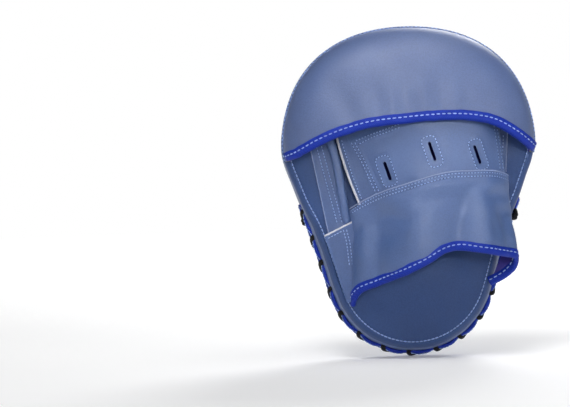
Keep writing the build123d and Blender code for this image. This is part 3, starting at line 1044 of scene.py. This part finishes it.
def hood_lift(x, h):
    """How far the hood stands off the pad's back."""
    dx, dh = x - HOOD_CENTRE[0], h - HOOD_CENTRE[1]
    reach = rim_radius(np.arctan2(dh, dx)) - HOOD_INSET
    share = np.clip(np.hypot(dx, dh) / reach, 0, 1)
    lift = HOOD_DEPTH * np.sqrt(np.clip(1 - share**2.25, 0, 1))
    inner = smoothstep(1.0, 0.8, share)
    for centre, height, depth, wide in HOOD_DIMPLES:
        lift = lift - depth * inner * bump_at(x, centre, wide) * bump_at(h, height, 12)
    for centre, height, depth, wide in HOOD_RIDGES:
        lift = lift + depth * inner * bump_at(x, centre, wide) * bump_at(h, height, 10)
    lift = lift + 0.5 * inner * np.sin(x / 17.0 + h / 31.0) * np.sin(h / 15.0 + 1.0)
    return lift


def stretch(field, cols):
    """Each row of a grid of values, interpolated to another number of columns."""
    old, new = np.linspace(0, 1, field.shape[1]), np.linspace(0, 1, cols)
    return np.stack([[np.interp(new, old, line[:, k]) for line in field] for k in range(3)], axis=-1)


def widen(field, rows, cols):
    """A coarse grid of values, spread smoothly over a finer grid."""
    fine = stretch(stretch(field, cols).transpose(1, 0, 2), rows).transpose(1, 0, 2)
    for _ in range(6):
        padded = np.pad(fine, ((2, 2), (2, 2), (0, 0)), mode="edge")
        fine = sum(padded[r:r + rows, c:c + cols] for r in (0, 2, 4) for c in (0, 2, 4)) / 9
    return fine


def settle(grid, away_from, held, slack, push, cap):
    """Let a sheet settle as cloth that is a little too large for its sewn edges.

    held gives, for coarse rows and columns, which points are sewn down.
    """
    rows, cols = grid.shape[:2]
    row_at = np.linspace(0, rows - 1, rows // CLOTH_STEP).round().astype(int)
    col_at = np.linspace(0, cols - 1, cols // CLOTH_STEP).round().astype(int)
    coarse = grid[np.ix_(row_at, col_at)]
    study = grid_object("cloth_study", coarse, away_from)
    pinned = [i for i in range(coarse.shape[0] * coarse.shape[1])
              if held(row_at[i // len(col_at)], col_at[i % len(col_at)])]
    study.vertex_groups.new(name="sewn").add(pinned, 1.0, "REPLACE")
    cloth = study.modifiers.new("cloth", "CLOTH")
    settings = cloth.settings
    settings.quality = 8
    settings.mass = 0.25
    settings.tension_stiffness = 25
    settings.compression_stiffness = 25
    settings.shear_stiffness = 12
    settings.bending_stiffness = 1.2
    settings.vertex_group_mass = "sewn"
    settings.shrink_min = -slack
    settings.use_pressure = True
    settings.uniform_pressure_force = push
    settings.effector_weights.gravity = 0
    cloth.collision_settings.use_collision = False
    for number in range(1, CLOTH_FRAMES + 1):
        bpy.context.scene.frame_set(number)
    posed = study.evaluated_get(bpy.context.evaluated_depsgraph_get()).to_mesh()
    spots = np.empty(len(posed.vertices) * 3)
    posed.vertices.foreach_get("co", spots)
    moved = spots.reshape(coarse.shape) / MM - np.array([0.0, 0.0, BOTTOM]) - coarse
    reach = np.linalg.norm(moved, axis=-1, keepdims=True)
    moved = moved * np.minimum(1, cap / np.maximum(reach, 1e-6))
    bpy.data.objects.remove(study)
    bpy.context.scene.frame_set(1)
    edge = np.array([[0.0 if held(r, c) else 1.0 for c in range(cols)] for r in range(rows)])
    return grid + widen(moved, rows, cols) * edge[..., None]


def sewn_edges(grid, first, last, side):
    """Tells which points are sewn down: so many of the first rows, last rows and columns at the sides."""
    last_row, last_col = grid.shape[0] - 1, grid.shape[1] - 1
    return lambda r, c: r < first or r > last_row - last or c < side or c > last_col - side


def mouth_line(count):
    xs = np.linspace(HOOD_MOUTH[0][0], HOOD_MOUTH[-1][0], 400)
    return resample(np.stack([xs, curve_at(HOOD_MOUTH, xs)], axis=1), count=count)


def hood_grid():
    """Points of the hood from its mouth to its rim."""
    columns, rows = 241, 73
    mouth = mouth_line(columns)
    offset = mouth - HOOD_CENTRE
    angle = np.arctan2(offset[:, 1], offset[:, 0])
    near = np.hypot(offset[:, 0], offset[:, 1])
    far = rim_radius(angle) - HOOD_INSET
    near = np.minimum(near, far - 0.5)
    shares = 1 - (1 - np.linspace(0, 1, rows)) ** 1.7
    grid = np.zeros((rows, columns, 3))
    for r, share in enumerate(shares):
        radius = near + (far - near) * share
        x = HOOD_CENTRE[0] + radius * np.cos(angle)
        h = HOOD_CENTRE[1] + radius * np.sin(angle)
        grid[r] = np.stack([x, BACK - ON_BACK - hood_lift(x, h), h], axis=1)
    return grid


HOOD_MIDDLE = (HOOD_CENTRE[0], BACK, HOOD_CENTRE[1])


def inner_sheet(grid, depth, away_from, floor=None):
    """The same sheet moved inward along its normals, thinned to every other point."""
    inner = grid - grid_normals(grid, away_from) * depth
    if floor is not None:
        inner[..., 1] = np.minimum(inner[..., 1], floor)
    return inner[::2, ::2]


def grid_normals(grid, away_from):
    across = np.gradient(grid, axis=1)
    along = np.gradient(grid, axis=0)
    normals = unit(np.cross(across, along))
    outward = grid - np.array(away_from)
    if (normals * outward).sum() < 0:
        normals = -normals
    return normals


def hood_sheet(name, node, grid, material, thickness):
    piece = thicken(grid_object(name, grid, HOOD_MIDDLE), thickness)
    piece.data.materials.append(material)
    finish_piece(piece, None, [node], blend="hood")


def hood():
    grid = hood_grid()
    sewn = sewn_edges(grid, first=8, last=5, side=4)
    outer = settle(grid, HOOD_MIDDLE, sewn, slack=0.008, push=3.0, cap=2.2)
    floor = BACK - ON_BACK
    padding = inner_sheet(outer, 1.35, HOOD_MIDDLE, floor)[1:]
    lining = inner_sheet(outer, 3.1, HOOD_MIDDLE, floor)[1:]
    hood_sheet("hood_leather", "hood_shell", outer, leather("hood_leather"),
               thickness=1.3)
    foam = foam_material("hood_foam", srgb(120, 122, 128))
    hood_sheet("hood_foam_sheet", "hood_padding", padding, foam, thickness=1.7)
    hood_sheet("hood_lining_cloth", "hood_lining", lining, lining_material(), thickness=0.8)
    return outer


def across_edge(edge, up):
    """Outward directions squared to a free edge, and the directions across it."""
    tangent = unit(np.gradient(edge, axis=0))
    up = unit(up - tangent * (up * tangent).sum(axis=1, keepdims=True))
    return up, np.cross(tangent, up)


def edge_binding(name, edge, inward, normals, thickness, width, seed):
    """Tape folded over a free edge, a little uneven along its length."""
    rng = np.random.default_rng(seed)
    count = len(edge)
    sway = np.interp(np.arange(count), np.linspace(0, count, 50), rng.normal(0, 0.14, 50))
    edge = edge + inward * sway[:, None]
    puff = 0.9
    section = ((width, puff * 0.55), (width - 0.7, puff * 0.95),
               (width * 0.5, puff * 1.2), (1.0, puff * 1.1),
               (-0.5, puff * 0.5), (-1.15, -thickness * 0.5), (-0.5, -thickness - 0.5),
               (1.0, -thickness - 1.0), (width * 0.5, -thickness - 1.1), (width - 0.7, -thickness - 0.85),
               (width, -thickness - 0.4), (width - 0.2, -thickness + 0.3), (width - 0.2, -0.3))
    piece = sweep(name, edge, inward, normals, section)
    piece.data.materials.append(blue_tape())
    return piece


def hood_trim(outer):
    """Tape round the hood's mouth, and the seam that sews its rim to the pad's edge."""
    normals = grid_normals(outer, HOOD_MIDDLE)
    edge = outer[0]
    backward = np.array([0.0, -1.0, 0.0])
    ends = smoothstep(70, 96, np.abs(edge[:, 0]))[:, None]
    up = unit(normals[0] * (1 - 0.6 * ends) + backward * (0.2 + 0.8 * ends))
    up, inward = across_edge(edge, up)
    inward *= np.sign(inward[:, 2].mean())
    keep = slice(3, -3)
    binding = edge_binding("hood_edge_binding", edge[keep], inward[keep], up[keep],
                           thickness=HOOD_THICKNESS, width=6.6, seed=21)
    finish_piece(binding, None, ["hood_binding"], blend="hood")
    line = edge + inward * 3.6 + up * 1.0
    inner_row = (line[keep] - up[keep] * (HOOD_THICKNESS + 2.0), -up[keep])
    row = stitch_rows("hood_binding_stitches", [(line[keep], up[keep]), inner_row], seed=7)
    finish_piece(row, None, blend="hood")

    rim = outer[-1]
    middle = np.array([HOOD_CENTRE[0], 0, HOOD_CENTRE[1]])
    out = unit((rim - middle) * np.array([1, 0, 1]))
    back = np.tile(backward, (len(rim), 1))
    lip = rim * np.array([1, 0, 1]) + np.array([0, BACK + 1.6, 0])
    section = ((-2.2, 0.2), (-1.4, 1.2), (-0.4, 1.9), (0.5, 1.9),
               (1.3, 1.2), (1.6, 0.0), (1.0, -1.2), (-1.0, -1.0))
    seam = sweep("hood_rim_seam", lip, out, back, section)
    seam.data.materials.append(leather("back_leather"))
    finish_piece(seam, "pad")
    line = (lip + out * 0.9 + back * 1.75, unit(back + out * 0.5))
    row = stitch_rows("hood_rim_stitches", [line], pitch=3.2, length=2.2, width=0.7, seed=9)
    finish_piece(row, "pad")


# ---------------------------------------------------------------- hand pocket

def roof_values(h):
    left = ROOF_CENTRE - curve_at(LEFT_FOOT, h)
    right = curve_at(RIGHT_WIDE, h) - ROOF_CENTRE
    rise = curve_at(RISE, h)
    tuck = curve_at(TUCK, h)
    return left, right, rise, tuck


def last_angle(h):
    """Angle round the arch at which the tucked right side meets the pad."""
    _, _, rise, tuck = roof_values(h)
    return math.pi + np.arcsin(tuck / (rise - tuck))


def angle_of(x, h):
    """Angle round the arch above a given x."""
    left, right, _, _ = roof_values(h)
    x = np.asarray(x, float)
    on_left = np.arccos(np.clip((ROOF_CENTRE - x) / left, -1, 1))
    on_right = math.pi - np.arccos(np.clip((x - ROOF_CENTRE) / right, -1, 1))
    return np.where(x < ROOF_CENTRE, on_left, on_right)


# depth, angle at a height of 100 mm, change of that angle per mm of height, and width
CUFF_FOLDS = (
    (1.6, 0.50, 0.0, 0.18),
    (-1.7, 0.80, 0.0, 0.15),
    (1.9, 1.25, 0.0, 0.2),
    (-3.4, 1.86, 0.003, 0.16),
    (2.4, 2.2, 0.0, 0.15),
    (-2.4, 2.62, -0.004, 0.13),
    (1.0, 2.9, 0.0, 0.12),
)


def roof_folds(angle, h):
    """Soft folds of the cuff and slight slack in the panel."""
    low = smoothstep(140, 84, h)
    folds = 0
    for depth, centre, lean, wide in CUFF_FOLDS:
        folds = folds + depth * bump_at(angle, centre + (h - 100) * lean, wide)
    high = smoothstep(120, 150, h)
    slack = 0.9 * np.sin(angle * 5.2 + h * 0.05) * np.sin(h * 0.09 + angle * 1.5)
    slack = slack - 1.3 * bump_at(angle, 0.75, 0.16) * bump_at(h, 140 + 20 * angle, 12)
    return low * folds + high * slack * 0.7


def roof(angle, h, lift=0.0):
    """A point on the hand pocket's roof, lifted off it along its normal."""
    angle, h = np.broadcast_arrays(np.asarray(angle, float), np.asarray(h, float))
    left, right, rise, tuck = roof_values(h)
    wide = np.where(angle < math.pi / 2, left, right)
    sunk = np.where(angle < math.pi / 2, 0.0, tuck)
    out_x, out_y = -np.cos(angle), -np.sin(angle)
    away = lift + roof_folds(angle, h) * np.clip(np.sin(angle) * 1.6, 0, 1)
    flare = np.where(angle < math.pi / 2, 0.28 * rise * np.sin(2 * np.clip(angle, 0, math.pi / 2)) ** 2, 0.0)
    x = ROOF_CENTRE + wide * out_x + away * out_x
    y = BACK - sunk + (rise - sunk) * out_y + away * out_y + flare * np.cos(angle)
    return np.stack([x, y, h], axis=-1)


def roof_normal(angle, h):
    step = 0.02
    across = roof(angle + step, h) - roof(angle - step, h)
    up = roof(angle, h + 0.5) - roof(angle, h - 0.5)
    return unit(np.cross(up, across))


def seam_height(angle):
    """Height of the seam between the cuff and the panel, by angle."""
    x = roof(np.asarray(angle, float), 130.0)[..., 0]
    return curve_at(CUFF_SEAM, x)


def mouth_height(angle):
    return curve_at(CUFF_MOUTH, angle)


def roof_grid(low, high, left, right, rows, cols, lift):
    """Points on the roof between two height curves and two angle curves."""
    s = np.linspace(0, 1, cols)[None, :]
    t = np.linspace(0, 1, rows)[:, None]
    h = np.full((rows, cols), 150.0)
    angle = np.full((rows, cols), 1.5)
    for _ in range(8):
        angle = left(h) * (1 - s) + right(h) * s
        h = low(angle) * (1 - t) + high(angle) * t
    return roof(angle, h, lift(angle, h) if callable(lift) else lift)


def sheet_from(name, grid, thickness, materials):
    piece = grid_object(name, grid, (ROOF_CENTRE, BACK, float(grid[..., 2].mean())))
    thicken(piece, thickness, len(materials) - 1)
    for material in materials:
        piece.data.materials.append(material)
    return piece


def roof_patch(name, low, high, left, right, rows, cols, lift, thickness, materials):
    """A sheet on the roof between two height curves and two angle curves."""
    return sheet_from(name, roof_grid(low, high, left, right, rows, cols, lift), thickness, materials)


def level(value):
    return lambda at: np.full_like(np.asarray(at, float), value)


def by_x(knots):
    return lambda h: angle_of(curve_at(knots, h), h)


def shifted(knots, move):
    return [(h, x + move) for h, x in knots]


def vent_cutters():
    """Slot-shaped prisms that cut the vents through every layer."""
    cutters = []
    for index, (x, h) in enumerate(VENTS):
        loop = slot_loop(x, h, VENT_LENGTH, VENT_WIDTH, 24)
        near = [(px, -60.0, ph) for px, ph in loop]
        far = [(px, BACK - 8.0, ph) for px, ph in loop]
        count = len(loop)
        faces = grid_faces(2, count, wrap_cols=True)
        faces.append(tuple(range(count)))
        faces.append(tuple(range(2 * count - 1, count - 1, -1)))
        cutters.append(point_outward(mesh_object(f"vent_cutter_{index}", near + far, faces, smooth=False)))
    return cutters


def slot_loop(x, h, length, width, count, square=1.0):
    """Round-ended slot as (x, h) points, leaning to the left."""
    half = (length - width) / 2
    points = []
    for k in range(count):
        turn = 2 * math.pi * k / count
        c, s = math.cos(turn), math.sin(turn)
        if square > 1:
            grow = (abs(c) ** square + abs(s) ** square) ** (-1 / square)
            c, s = c * grow, s * grow
        across = width / 2 * c
        along = width / 2 * s + (half if s > 0 else -half)
        points.append((x + across * math.cos(VENT_LEAN) - along * math.sin(VENT_LEAN),
                       h + across * math.sin(VENT_LEAN) + along * math.cos(VENT_LEAN)))
    return points


def cut(piece, cutters):
    for cutter in cutters:
        slot = piece.modifiers.new("vent", "BOOLEAN")
        slot.operation = "DIFFERENCE"
        slot.solver = "EXACT"
        slot.object = cutter
    return bake_modifiers(piece)


def pocket_upper():
    """Thumb strip, vented panel and their lining."""
    cutters = vent_cutters()
    top = level(PANEL_TOP)
    cut_leather = [leather("back_leather"), dull_edge_material()]
    strip = roof_patch("thumb_strip_leather", below_seam, top, by_x(FREE_EDGE),
                       by_x(shifted(PANEL_LEFT, 24)), rows=70, cols=50, lift=0.0, thickness=1.5,
                       materials=cut_leather)
    cut(strip, cutters[:1])
    finish_piece(sharpen(strip), None, ["thumb_strip"], blend="pocket")

    panel = roof_patch("hand_back_vented_panel", below_seam, top, by_x(PANEL_LEFT),
                       by_x(PANEL_RIGHT), rows=90, cols=140, lift=PANEL_LIFT, thickness=1.4,
                       materials=[leather("back_leather")])
    cut(panel, cutters)
    finish_piece(sharpen(panel), None, ["hand_back_panel"], blend="pocket")

    lining = roof_patch("hand_back_lining_cloth", below_seam, level(PANEL_TOP - 2),
                        by_x(shifted(PANEL_LEFT, 3)), by_x(shifted(PANEL_RIGHT, -2)),
                        rows=50, cols=70, lift=-1.6, thickness=0.9, materials=[lining_material()])
    cut(lining, cutters)
    lining_nodes = ["hand_back_lining", "vent_patches"]
    finish_piece(sharpen(lining), None, lining_nodes, blend="pocket")

    outer_side = roof_patch("outer_side_leather", below_seam, level(PANEL_TOP - 4),
                            by_x(shifted(PANEL_RIGHT, -6)), foot_angle, rows=50, cols=26, lift=0.0,
                            thickness=1.3, materials=cut_leather)
    finish_piece(sharpen(outer_side), None, ["outer_side_strip"], blend="pocket")
    for cutter in cutters:
        bpy.data.objects.remove(cutter)
    return strip, panel


def below_seam(angle):
    return seam_height(angle) - 7.0


def foot_angle(h):
    return last_angle(h) - 0.02


def roof_line(points, lift):
    """A line on the roof through (x, h) points, with its normals."""
    points = resample(np.array(points, float), spacing=1.5)
    angle = angle_of(points[:, 0], points[:, 1])
    return roof(angle, points[:, 1], lift), roof_normal(angle, points[:, 1])


def knot_line(knots, low, high, move=0.0):
    heights = np.linspace(low, high, 60)
    return [(float(curve_at(knots, h)) + move, h) for h in heights]


def seam_line(below, x_low=-46.0, x_high=74.0):
    xs = np.linspace(x_low, x_high, 90)
    return [(x, float(curve_at(CUFF_SEAM, x)) - below) for x in xs]


def pocket_stitches(strip, panel):
    panel_rows = []
    for move in (1.8, 1.8 + ROW_GAP):
        panel_rows.append(roof_line(knot_line(PANEL_LEFT, 127, 169.5, move), PANEL_LIFT))
        panel_rows.append(roof_line(knot_line(PANEL_RIGHT, 144, 190, -move), PANEL_LIFT))
        corner = [(-43.5 + move, 172.0 - move), (-30, 176.5 - move), (-8, 183.5 - move)]
        panel_rows.append(roof_line(corner, PANEL_LIFT))
    for x, h in VENTS:
        loop = slot_loop(x, h, FRAME_LENGTH, FRAME_WIDTH, 48, 4.0)
        panel_rows.append(roof_line(loop + loop[:1], PANEL_LIFT))
    strip_rows = [roof_line(knot_line(FREE_EDGE, 124, 172, 3.4), 0.0)]
    crease(panel, panel_rows)
    crease(strip, strip_rows)
    rows = sunk_rows(panel_rows + strip_rows)
    row = stitch_rows("pocket_stitches", rows, FINE_PITCH, FINE_LENGTH, FINE_WIDTH, 12)
    finish_piece(row, None, blend="pocket")
    raw_ribbon("thumb_strip_cut_edge", [roof_line(knot_line(FREE_EDGE, 118, 180, 0.2), 0.1)], 1.8,
               raw_edge_material(), blend="pocket")


def sunk_rows(rows):
    """Sewing rows lowered with the leather they pull in."""
    return [(line - normals * CREASE_DEPTH * 0.8, normals) for line, normals in rows]


def cuff_lift(angle, h):
    """The cuff lies over the panel's lower edge, then settles."""
    return 1.3 + 1.5 * smoothstep(22, 2, seam_height(angle) - h)


def cuff():
    middle = (ROOF_CENTRE, BACK, 95.0)
    grid = roof_grid(lambda a: mouth_height(a) + 1.0, seam_height, level(0.02), foot_angle,
                     rows=101, cols=221, lift=cuff_lift)
    sewn = sewn_edges(grid, first=8, last=9, side=5)
    grid = settle(grid, middle, sewn, slack=0.03, push=2.5, cap=4.0)
    outer = sheet_from("cuff_leather", grid, 1.3, [leather("back_leather"), dull_edge_material()])
    rows = [roof_line(seam_line(move), CUFF_LIFT) for move in (1.9, 1.9 + ROW_GAP)]
    crease(outer, rows)
    finish_piece(sharpen(outer), None, ["cuff"], blend="pocket")
    row = stitch_rows("cuff_seam_stitches", sunk_rows(rows), FINE_PITCH, FINE_LENGTH, FINE_WIDTH, 15)
    finish_piece(row, None, blend="pocket")
    raw_ribbon("cuff_seam_cut_edge", [roof_line(seam_line(0.1, -46.5, 74.5), CUFF_LIFT)], 0.8,
               dull_edge_material(), blend="pocket")

    lining = sheet_from("cuff_lining_cloth", inner_sheet(grid, 1.5, middle), 0.9, [lining_material()])
    finish_piece(sharpen(lining), None, ["cuff_lining"], blend="pocket")

    edge = grid[0]
    up, inward = across_edge(edge, grid_normals(grid, middle)[0])
    inward *= np.sign(((grid[6] - edge) * inward).sum())
    binding = edge_binding("cuff_edge_binding", edge, inward, up, thickness=2.4, width=6.4, seed=31)
    finish_piece(binding, None, ["cuff_binding"], blend="pocket")
    inner_row = (edge + inward * 3.5 - up * 3.45, -up)
    row = stitch_rows("cuff_binding_stitches", [(edge + inward * 3.5 + up * 1.0, up), inner_row], seed=13)
    finish_piece(row, None, blend="pocket")


# ---------------------------------------------------------------- flat pieces on the back

def flat_sheet(name, corners, top, thickness, rows=30, cols=12, swell=0.0):
    """A sheet sewn on the pad's back. Corners run low left, low right, high right, high left."""
    a, b, c, d = [np.array(p, float) for p in corners]
    grid = np.zeros((rows, cols, 3))
    for r, t in enumerate(np.linspace(0, 1, rows)):
        for k, s in enumerate(np.linspace(0, 1, cols)):
            spot = (a * (1 - s) + b * s) * (1 - t) + (d * (1 - s) + c * s) * t
            lift = swell * math.sin(math.pi * s) * math.sin(math.pi * t) ** 0.5
            grid[r, k] = (spot[0], top - lift, spot[1])
    piece = grid_object(name, grid, (spot[0], BACK + 60, spot[1]))
    thicken(piece, thickness, 1)
    piece.data.materials.append(leather("strip_leather"))
    piece.data.materials.append(dull_edge_material())
    return sharpen(piece)


def flat_line(points, y):
    points = resample(np.array(points, float), spacing=1.5)
    line = np.stack([points[:, 0], np.full(len(points), y), points[:, 1]], axis=1)
    return line, np.tile(np.array([0.0, -1.0, 0.0]), (len(points), 1))


def back_pieces():
    top = BACK - 2.1
    flange_top = top + 0.4
    corners = ((-66.0, 97.0), (-52.0, 97.0), (-60.0, 172.0), (-79.5, 172.0))
    panel = flat_sheet("palm_edge_leather", corners, top, thickness=1.4)
    finish_piece(panel, "pad", ["palm_edge_panel"])

    route = (
        (-49.5, BACK + 1.0, 101.0),
        (-51.0, BACK - 1.2, 108.0),
        (-54.5, BACK - 4.0, 128.0),
        (-57.0, BACK - 4.4, 148.0),
        (-59.5, BACK - 4.2, 162.0),
        (-64.0, BACK - 3.8, 176.0),
    )
    roll_line = resample(b_spline(route, 12), spacing=1.5)
    roll = tube("palm_edge_rolled_welt", roll_line, radius=3.4, ring=16, flatten=0.8)
    roll.data.materials.append(leather("back_leather"))
    finish_piece(roll, "pad", ["palm_edge_roll"])

    tab_top = top - 2.4
    corners = ((-53.5, 43.0), (-46.0, 43.0), (-41.0, 109.5), (-69.5, 96.0))
    tab = flat_sheet("cuff_tab_leather", corners, tab_top, thickness=1.4)
    finish_piece(tab, "pad", ["cuff_tab"])

    corners = ((69.0, 122.0), (75.0, 122.0), (79.0, 178.0), (71.0, 178.0))
    flange = flat_sheet("outer_side_flange_leather", corners, flange_top, thickness=1.3)
    finish_piece(flange, "pad", ["outer_side_flange"])

    corners = ((-38.0, 100.0), (54.0, 96.0), (62.0, 206.0), (-46.0, 206.0))
    lining = flat_sheet("palm_lining_cloth", corners, BACK - 2.0, thickness=1.0,
                        rows=40, cols=30, swell=0.6)
    lining.data.materials[0] = lining_material()
    finish_piece(lining, "pad", ["palm_lining"])

    panel_rows, tab_rows, flange_rows = [], [], []
    for move in (0.0, ROW_GAP + 1.4):
        line = [(-73.5 + move, 168.0), (-66.5 + move, 138.0), (-59.0 + move, 106.0)]
        panel_rows.append(flat_line(line, top))
        flange_rows.append(flat_line([(71.5 + move, 172.0), (69.5 + move, 144.0)], flange_top))
    for move in (0.0, ROW_GAP):
        line = [(-54.5 + move, 101.0), (-52.0 + move, 90.0), (-50.5 + move, 72.0)]
        tab_rows.append(flat_line(line, tab_top))
    tab_rows.append(flat_line([(-67.0, 94.0), (-55.5, 99.5)], tab_top))
    crease(panel, panel_rows)
    crease(tab, tab_rows)
    crease(flange, flange_rows)
    rows = sunk_rows(panel_rows + tab_rows + flange_rows)
    row = stitch_rows("back_piece_stitches", rows, FINE_PITCH, FINE_LENGTH, FINE_WIDTH, 14)
    finish_piece(row, "pad")
    edges = [flat_line([(-79.2, 171.0), (-72.6, 134.0), (-66.2, 98.5)], top),
             flat_line([(78.8, 174.0), (76.4, 142.0)], flange_top)]
    raw_ribbon("palm_edge_cut_edge", edges, 0.7, dull_edge_material(), body="pad")
    edges = [flat_line([(-69.5, 96.0), (-41.5, 109.2)], tab_top)]
    raw_ribbon("cuff_tab_cut_edge", edges, 1.3, raw_edge_material(), body="pad")


# ---------------------------------------------------------------- studio

VIEW_WIDTH = 456.0          # width of the view at the pad's back, in millimetres
SENSOR, LENS = 36.0, 95.0
LEAN = math.radians(1.93)   # the mitt leans to the left
AIM = (99.6, 10.4)          # where the mitt's middle shows, right of and above the view's middle
MITT_MIDDLE = 130.0


def camera():
    distance = VIEW_WIDTH * LENS / SENSOR
    across = AIM[0] * math.cos(LEAN) + AIM[1] * math.sin(LEAN)
    above = AIM[1] * math.cos(LEAN) - AIM[0] * math.sin(LEAN)
    data = bpy.data.cameras.new("camera")
    data.sensor_width = SENSOR
    data.lens = LENS
    eye = bpy.data.objects.new("camera", data)
    eye.location = Vector(place((-across, BACK + 6 - distance, MITT_MIDDLE - above))[0])
    eye.rotation_euler = (Matrix.Rotation(LEAN, 3, "Y") @ Matrix.Rotation(math.pi / 2, 3, "X")).to_euler()
    bpy.context.scene.collection.objects.link(eye)
    bpy.context.scene.camera = eye


def studio_floor():
    """Plain pale floor that glows with painted light, though it is no lamp: dim near the mitt, brighter with
    distance.
    """
    reach, count, level_at = 6000.0, 13, -4.6
    steps = np.linspace(-reach, reach, count)
    points = np.array([(x, y, level_at) for y in steps for x in steps])
    piece = face_outward(mesh_object("studio_floor", points, grid_faces(count, count)), (0, 0, -9000))
    n = Nodes("studio_paper_painted_glow", 0.9)
    paper = n.mix(n.spread(n.noise(3.0), 0.3, 0.7), (0.86, 0.86, 0.865, 1.0), (0.88, 0.88, 0.88, 1.0))
    n.colour(paper)
    n.setting("Emission Color", (1.0, 1.0, 1.0, 1.0))
    away = n.tree.nodes.new("ShaderNodeVectorMath")
    away.operation = "LENGTH"
    n.link(n.coords, away.inputs[0])
    # painted light: the floor's emission rises from 0.22 near the mitt to 1.0 far off
    glow = n.spread(away.outputs["Value"], 0.2, 2.2, 0.22, 1.0)
    n.link(glow, n.shader.inputs["Emission Strength"])
    piece.data.materials.append(n.material)


# name, place, aim, size in metres, power in watts and spread in degrees
LAMPS = (
    ("key", (-0.28, -0.85, 1.25), (0.0, -0.02, 0.10), 0.7, 1.6, 60.0),
    ("front", (0.14, -1.50, 0.42), (0.01, -0.02, 0.15), 0.5, 0.23, 17.0),
    ("left", (-0.95, -0.90, 0.45), (-0.05, -0.02, 0.14), 0.4, 0.06, 14.0),
    ("right", (0.95, -0.90, 0.45), (0.05, -0.02, 0.15), 0.4, 0.085, 14.0),
    ("top", (0.35, -0.35, 1.25), (0, 0, 0.1), 0.9, 3.6, 180.0),
    ("face_light", (0.5, 1.2, 1.1), (0, 0, 0), 0.8, 15, 180.0),
)


def lamp(name, spot, aim, size, power, spread):
    data = bpy.data.lights.new(name, "AREA")
    data.shape = "DISK"
    data.size = size
    data.energy = power
    data.spread = math.radians(spread)
    light = bpy.data.objects.new(name, data)
    light.location = spot
    light.rotation_euler = (Vector(aim) - Vector(spot)).to_track_quat("-Z", "Y").to_euler()
    bpy.context.scene.collection.objects.link(light)


def studio():
    studio_floor()
    world = bpy.data.worlds.new("studio")
    world.use_nodes = True
    tree = world.node_tree
    soft = tree.nodes["Background"]
    soft.inputs["Color"].default_value = (0.96, 0.98, 1, 1)
    soft.inputs["Strength"].default_value = 0.05
    seen = tree.nodes.new("ShaderNodeBackground")
    seen.inputs["Color"].default_value = (1, 1, 1, 1)
    mixed = tree.nodes.new("ShaderNodeMixShader")
    tree.links.new(tree.nodes.new("ShaderNodeLightPath").outputs["Is Camera Ray"], mixed.inputs[0])
    tree.links.new(soft.outputs[0], mixed.inputs[1])
    tree.links.new(seen.outputs[0], mixed.inputs[2])
    tree.links.new(mixed.outputs[0], tree.nodes["World Output"].inputs["Surface"])
    bpy.context.scene.world = world
    for row in LAMPS:
        lamp(*row)
    scene = bpy.context.scene
    scene.view_settings.view_transform = "Standard"
    scene.view_settings.look = "None"


# ---------------------------------------------------------------- build

camera()
face = pad_cover("front_cover_leather", "front_cover", FRONT_PROFILE, FACE, face_bulge,
                 ("face_leather", "band_leather"), band_rings=10)
# the back's face and rim take the darker leather, which is painted shade for the heel below the cuff
pad_cover("back_cover_leather", "back_cover", BACK_PROFILE, BACK, back_bulge,
          ("heel_leather_painted_shade", "back_leather"), band_rings=6)
for layer in FOAM_LAYERS:
    foam_layer(*layer)
pad_stitches()
target_disc(face)
emblem(face)
edge_tape("front_edge_tape", "front_edge_binding", 1)
edge_tape("back_edge_tape", "back_edge_binding", -1)
tape_stitches()
lace()
lace_knots()
hood_trim(hood())
pocket_stitches(*pocket_upper())
cuff()
back_pieces()
studio()
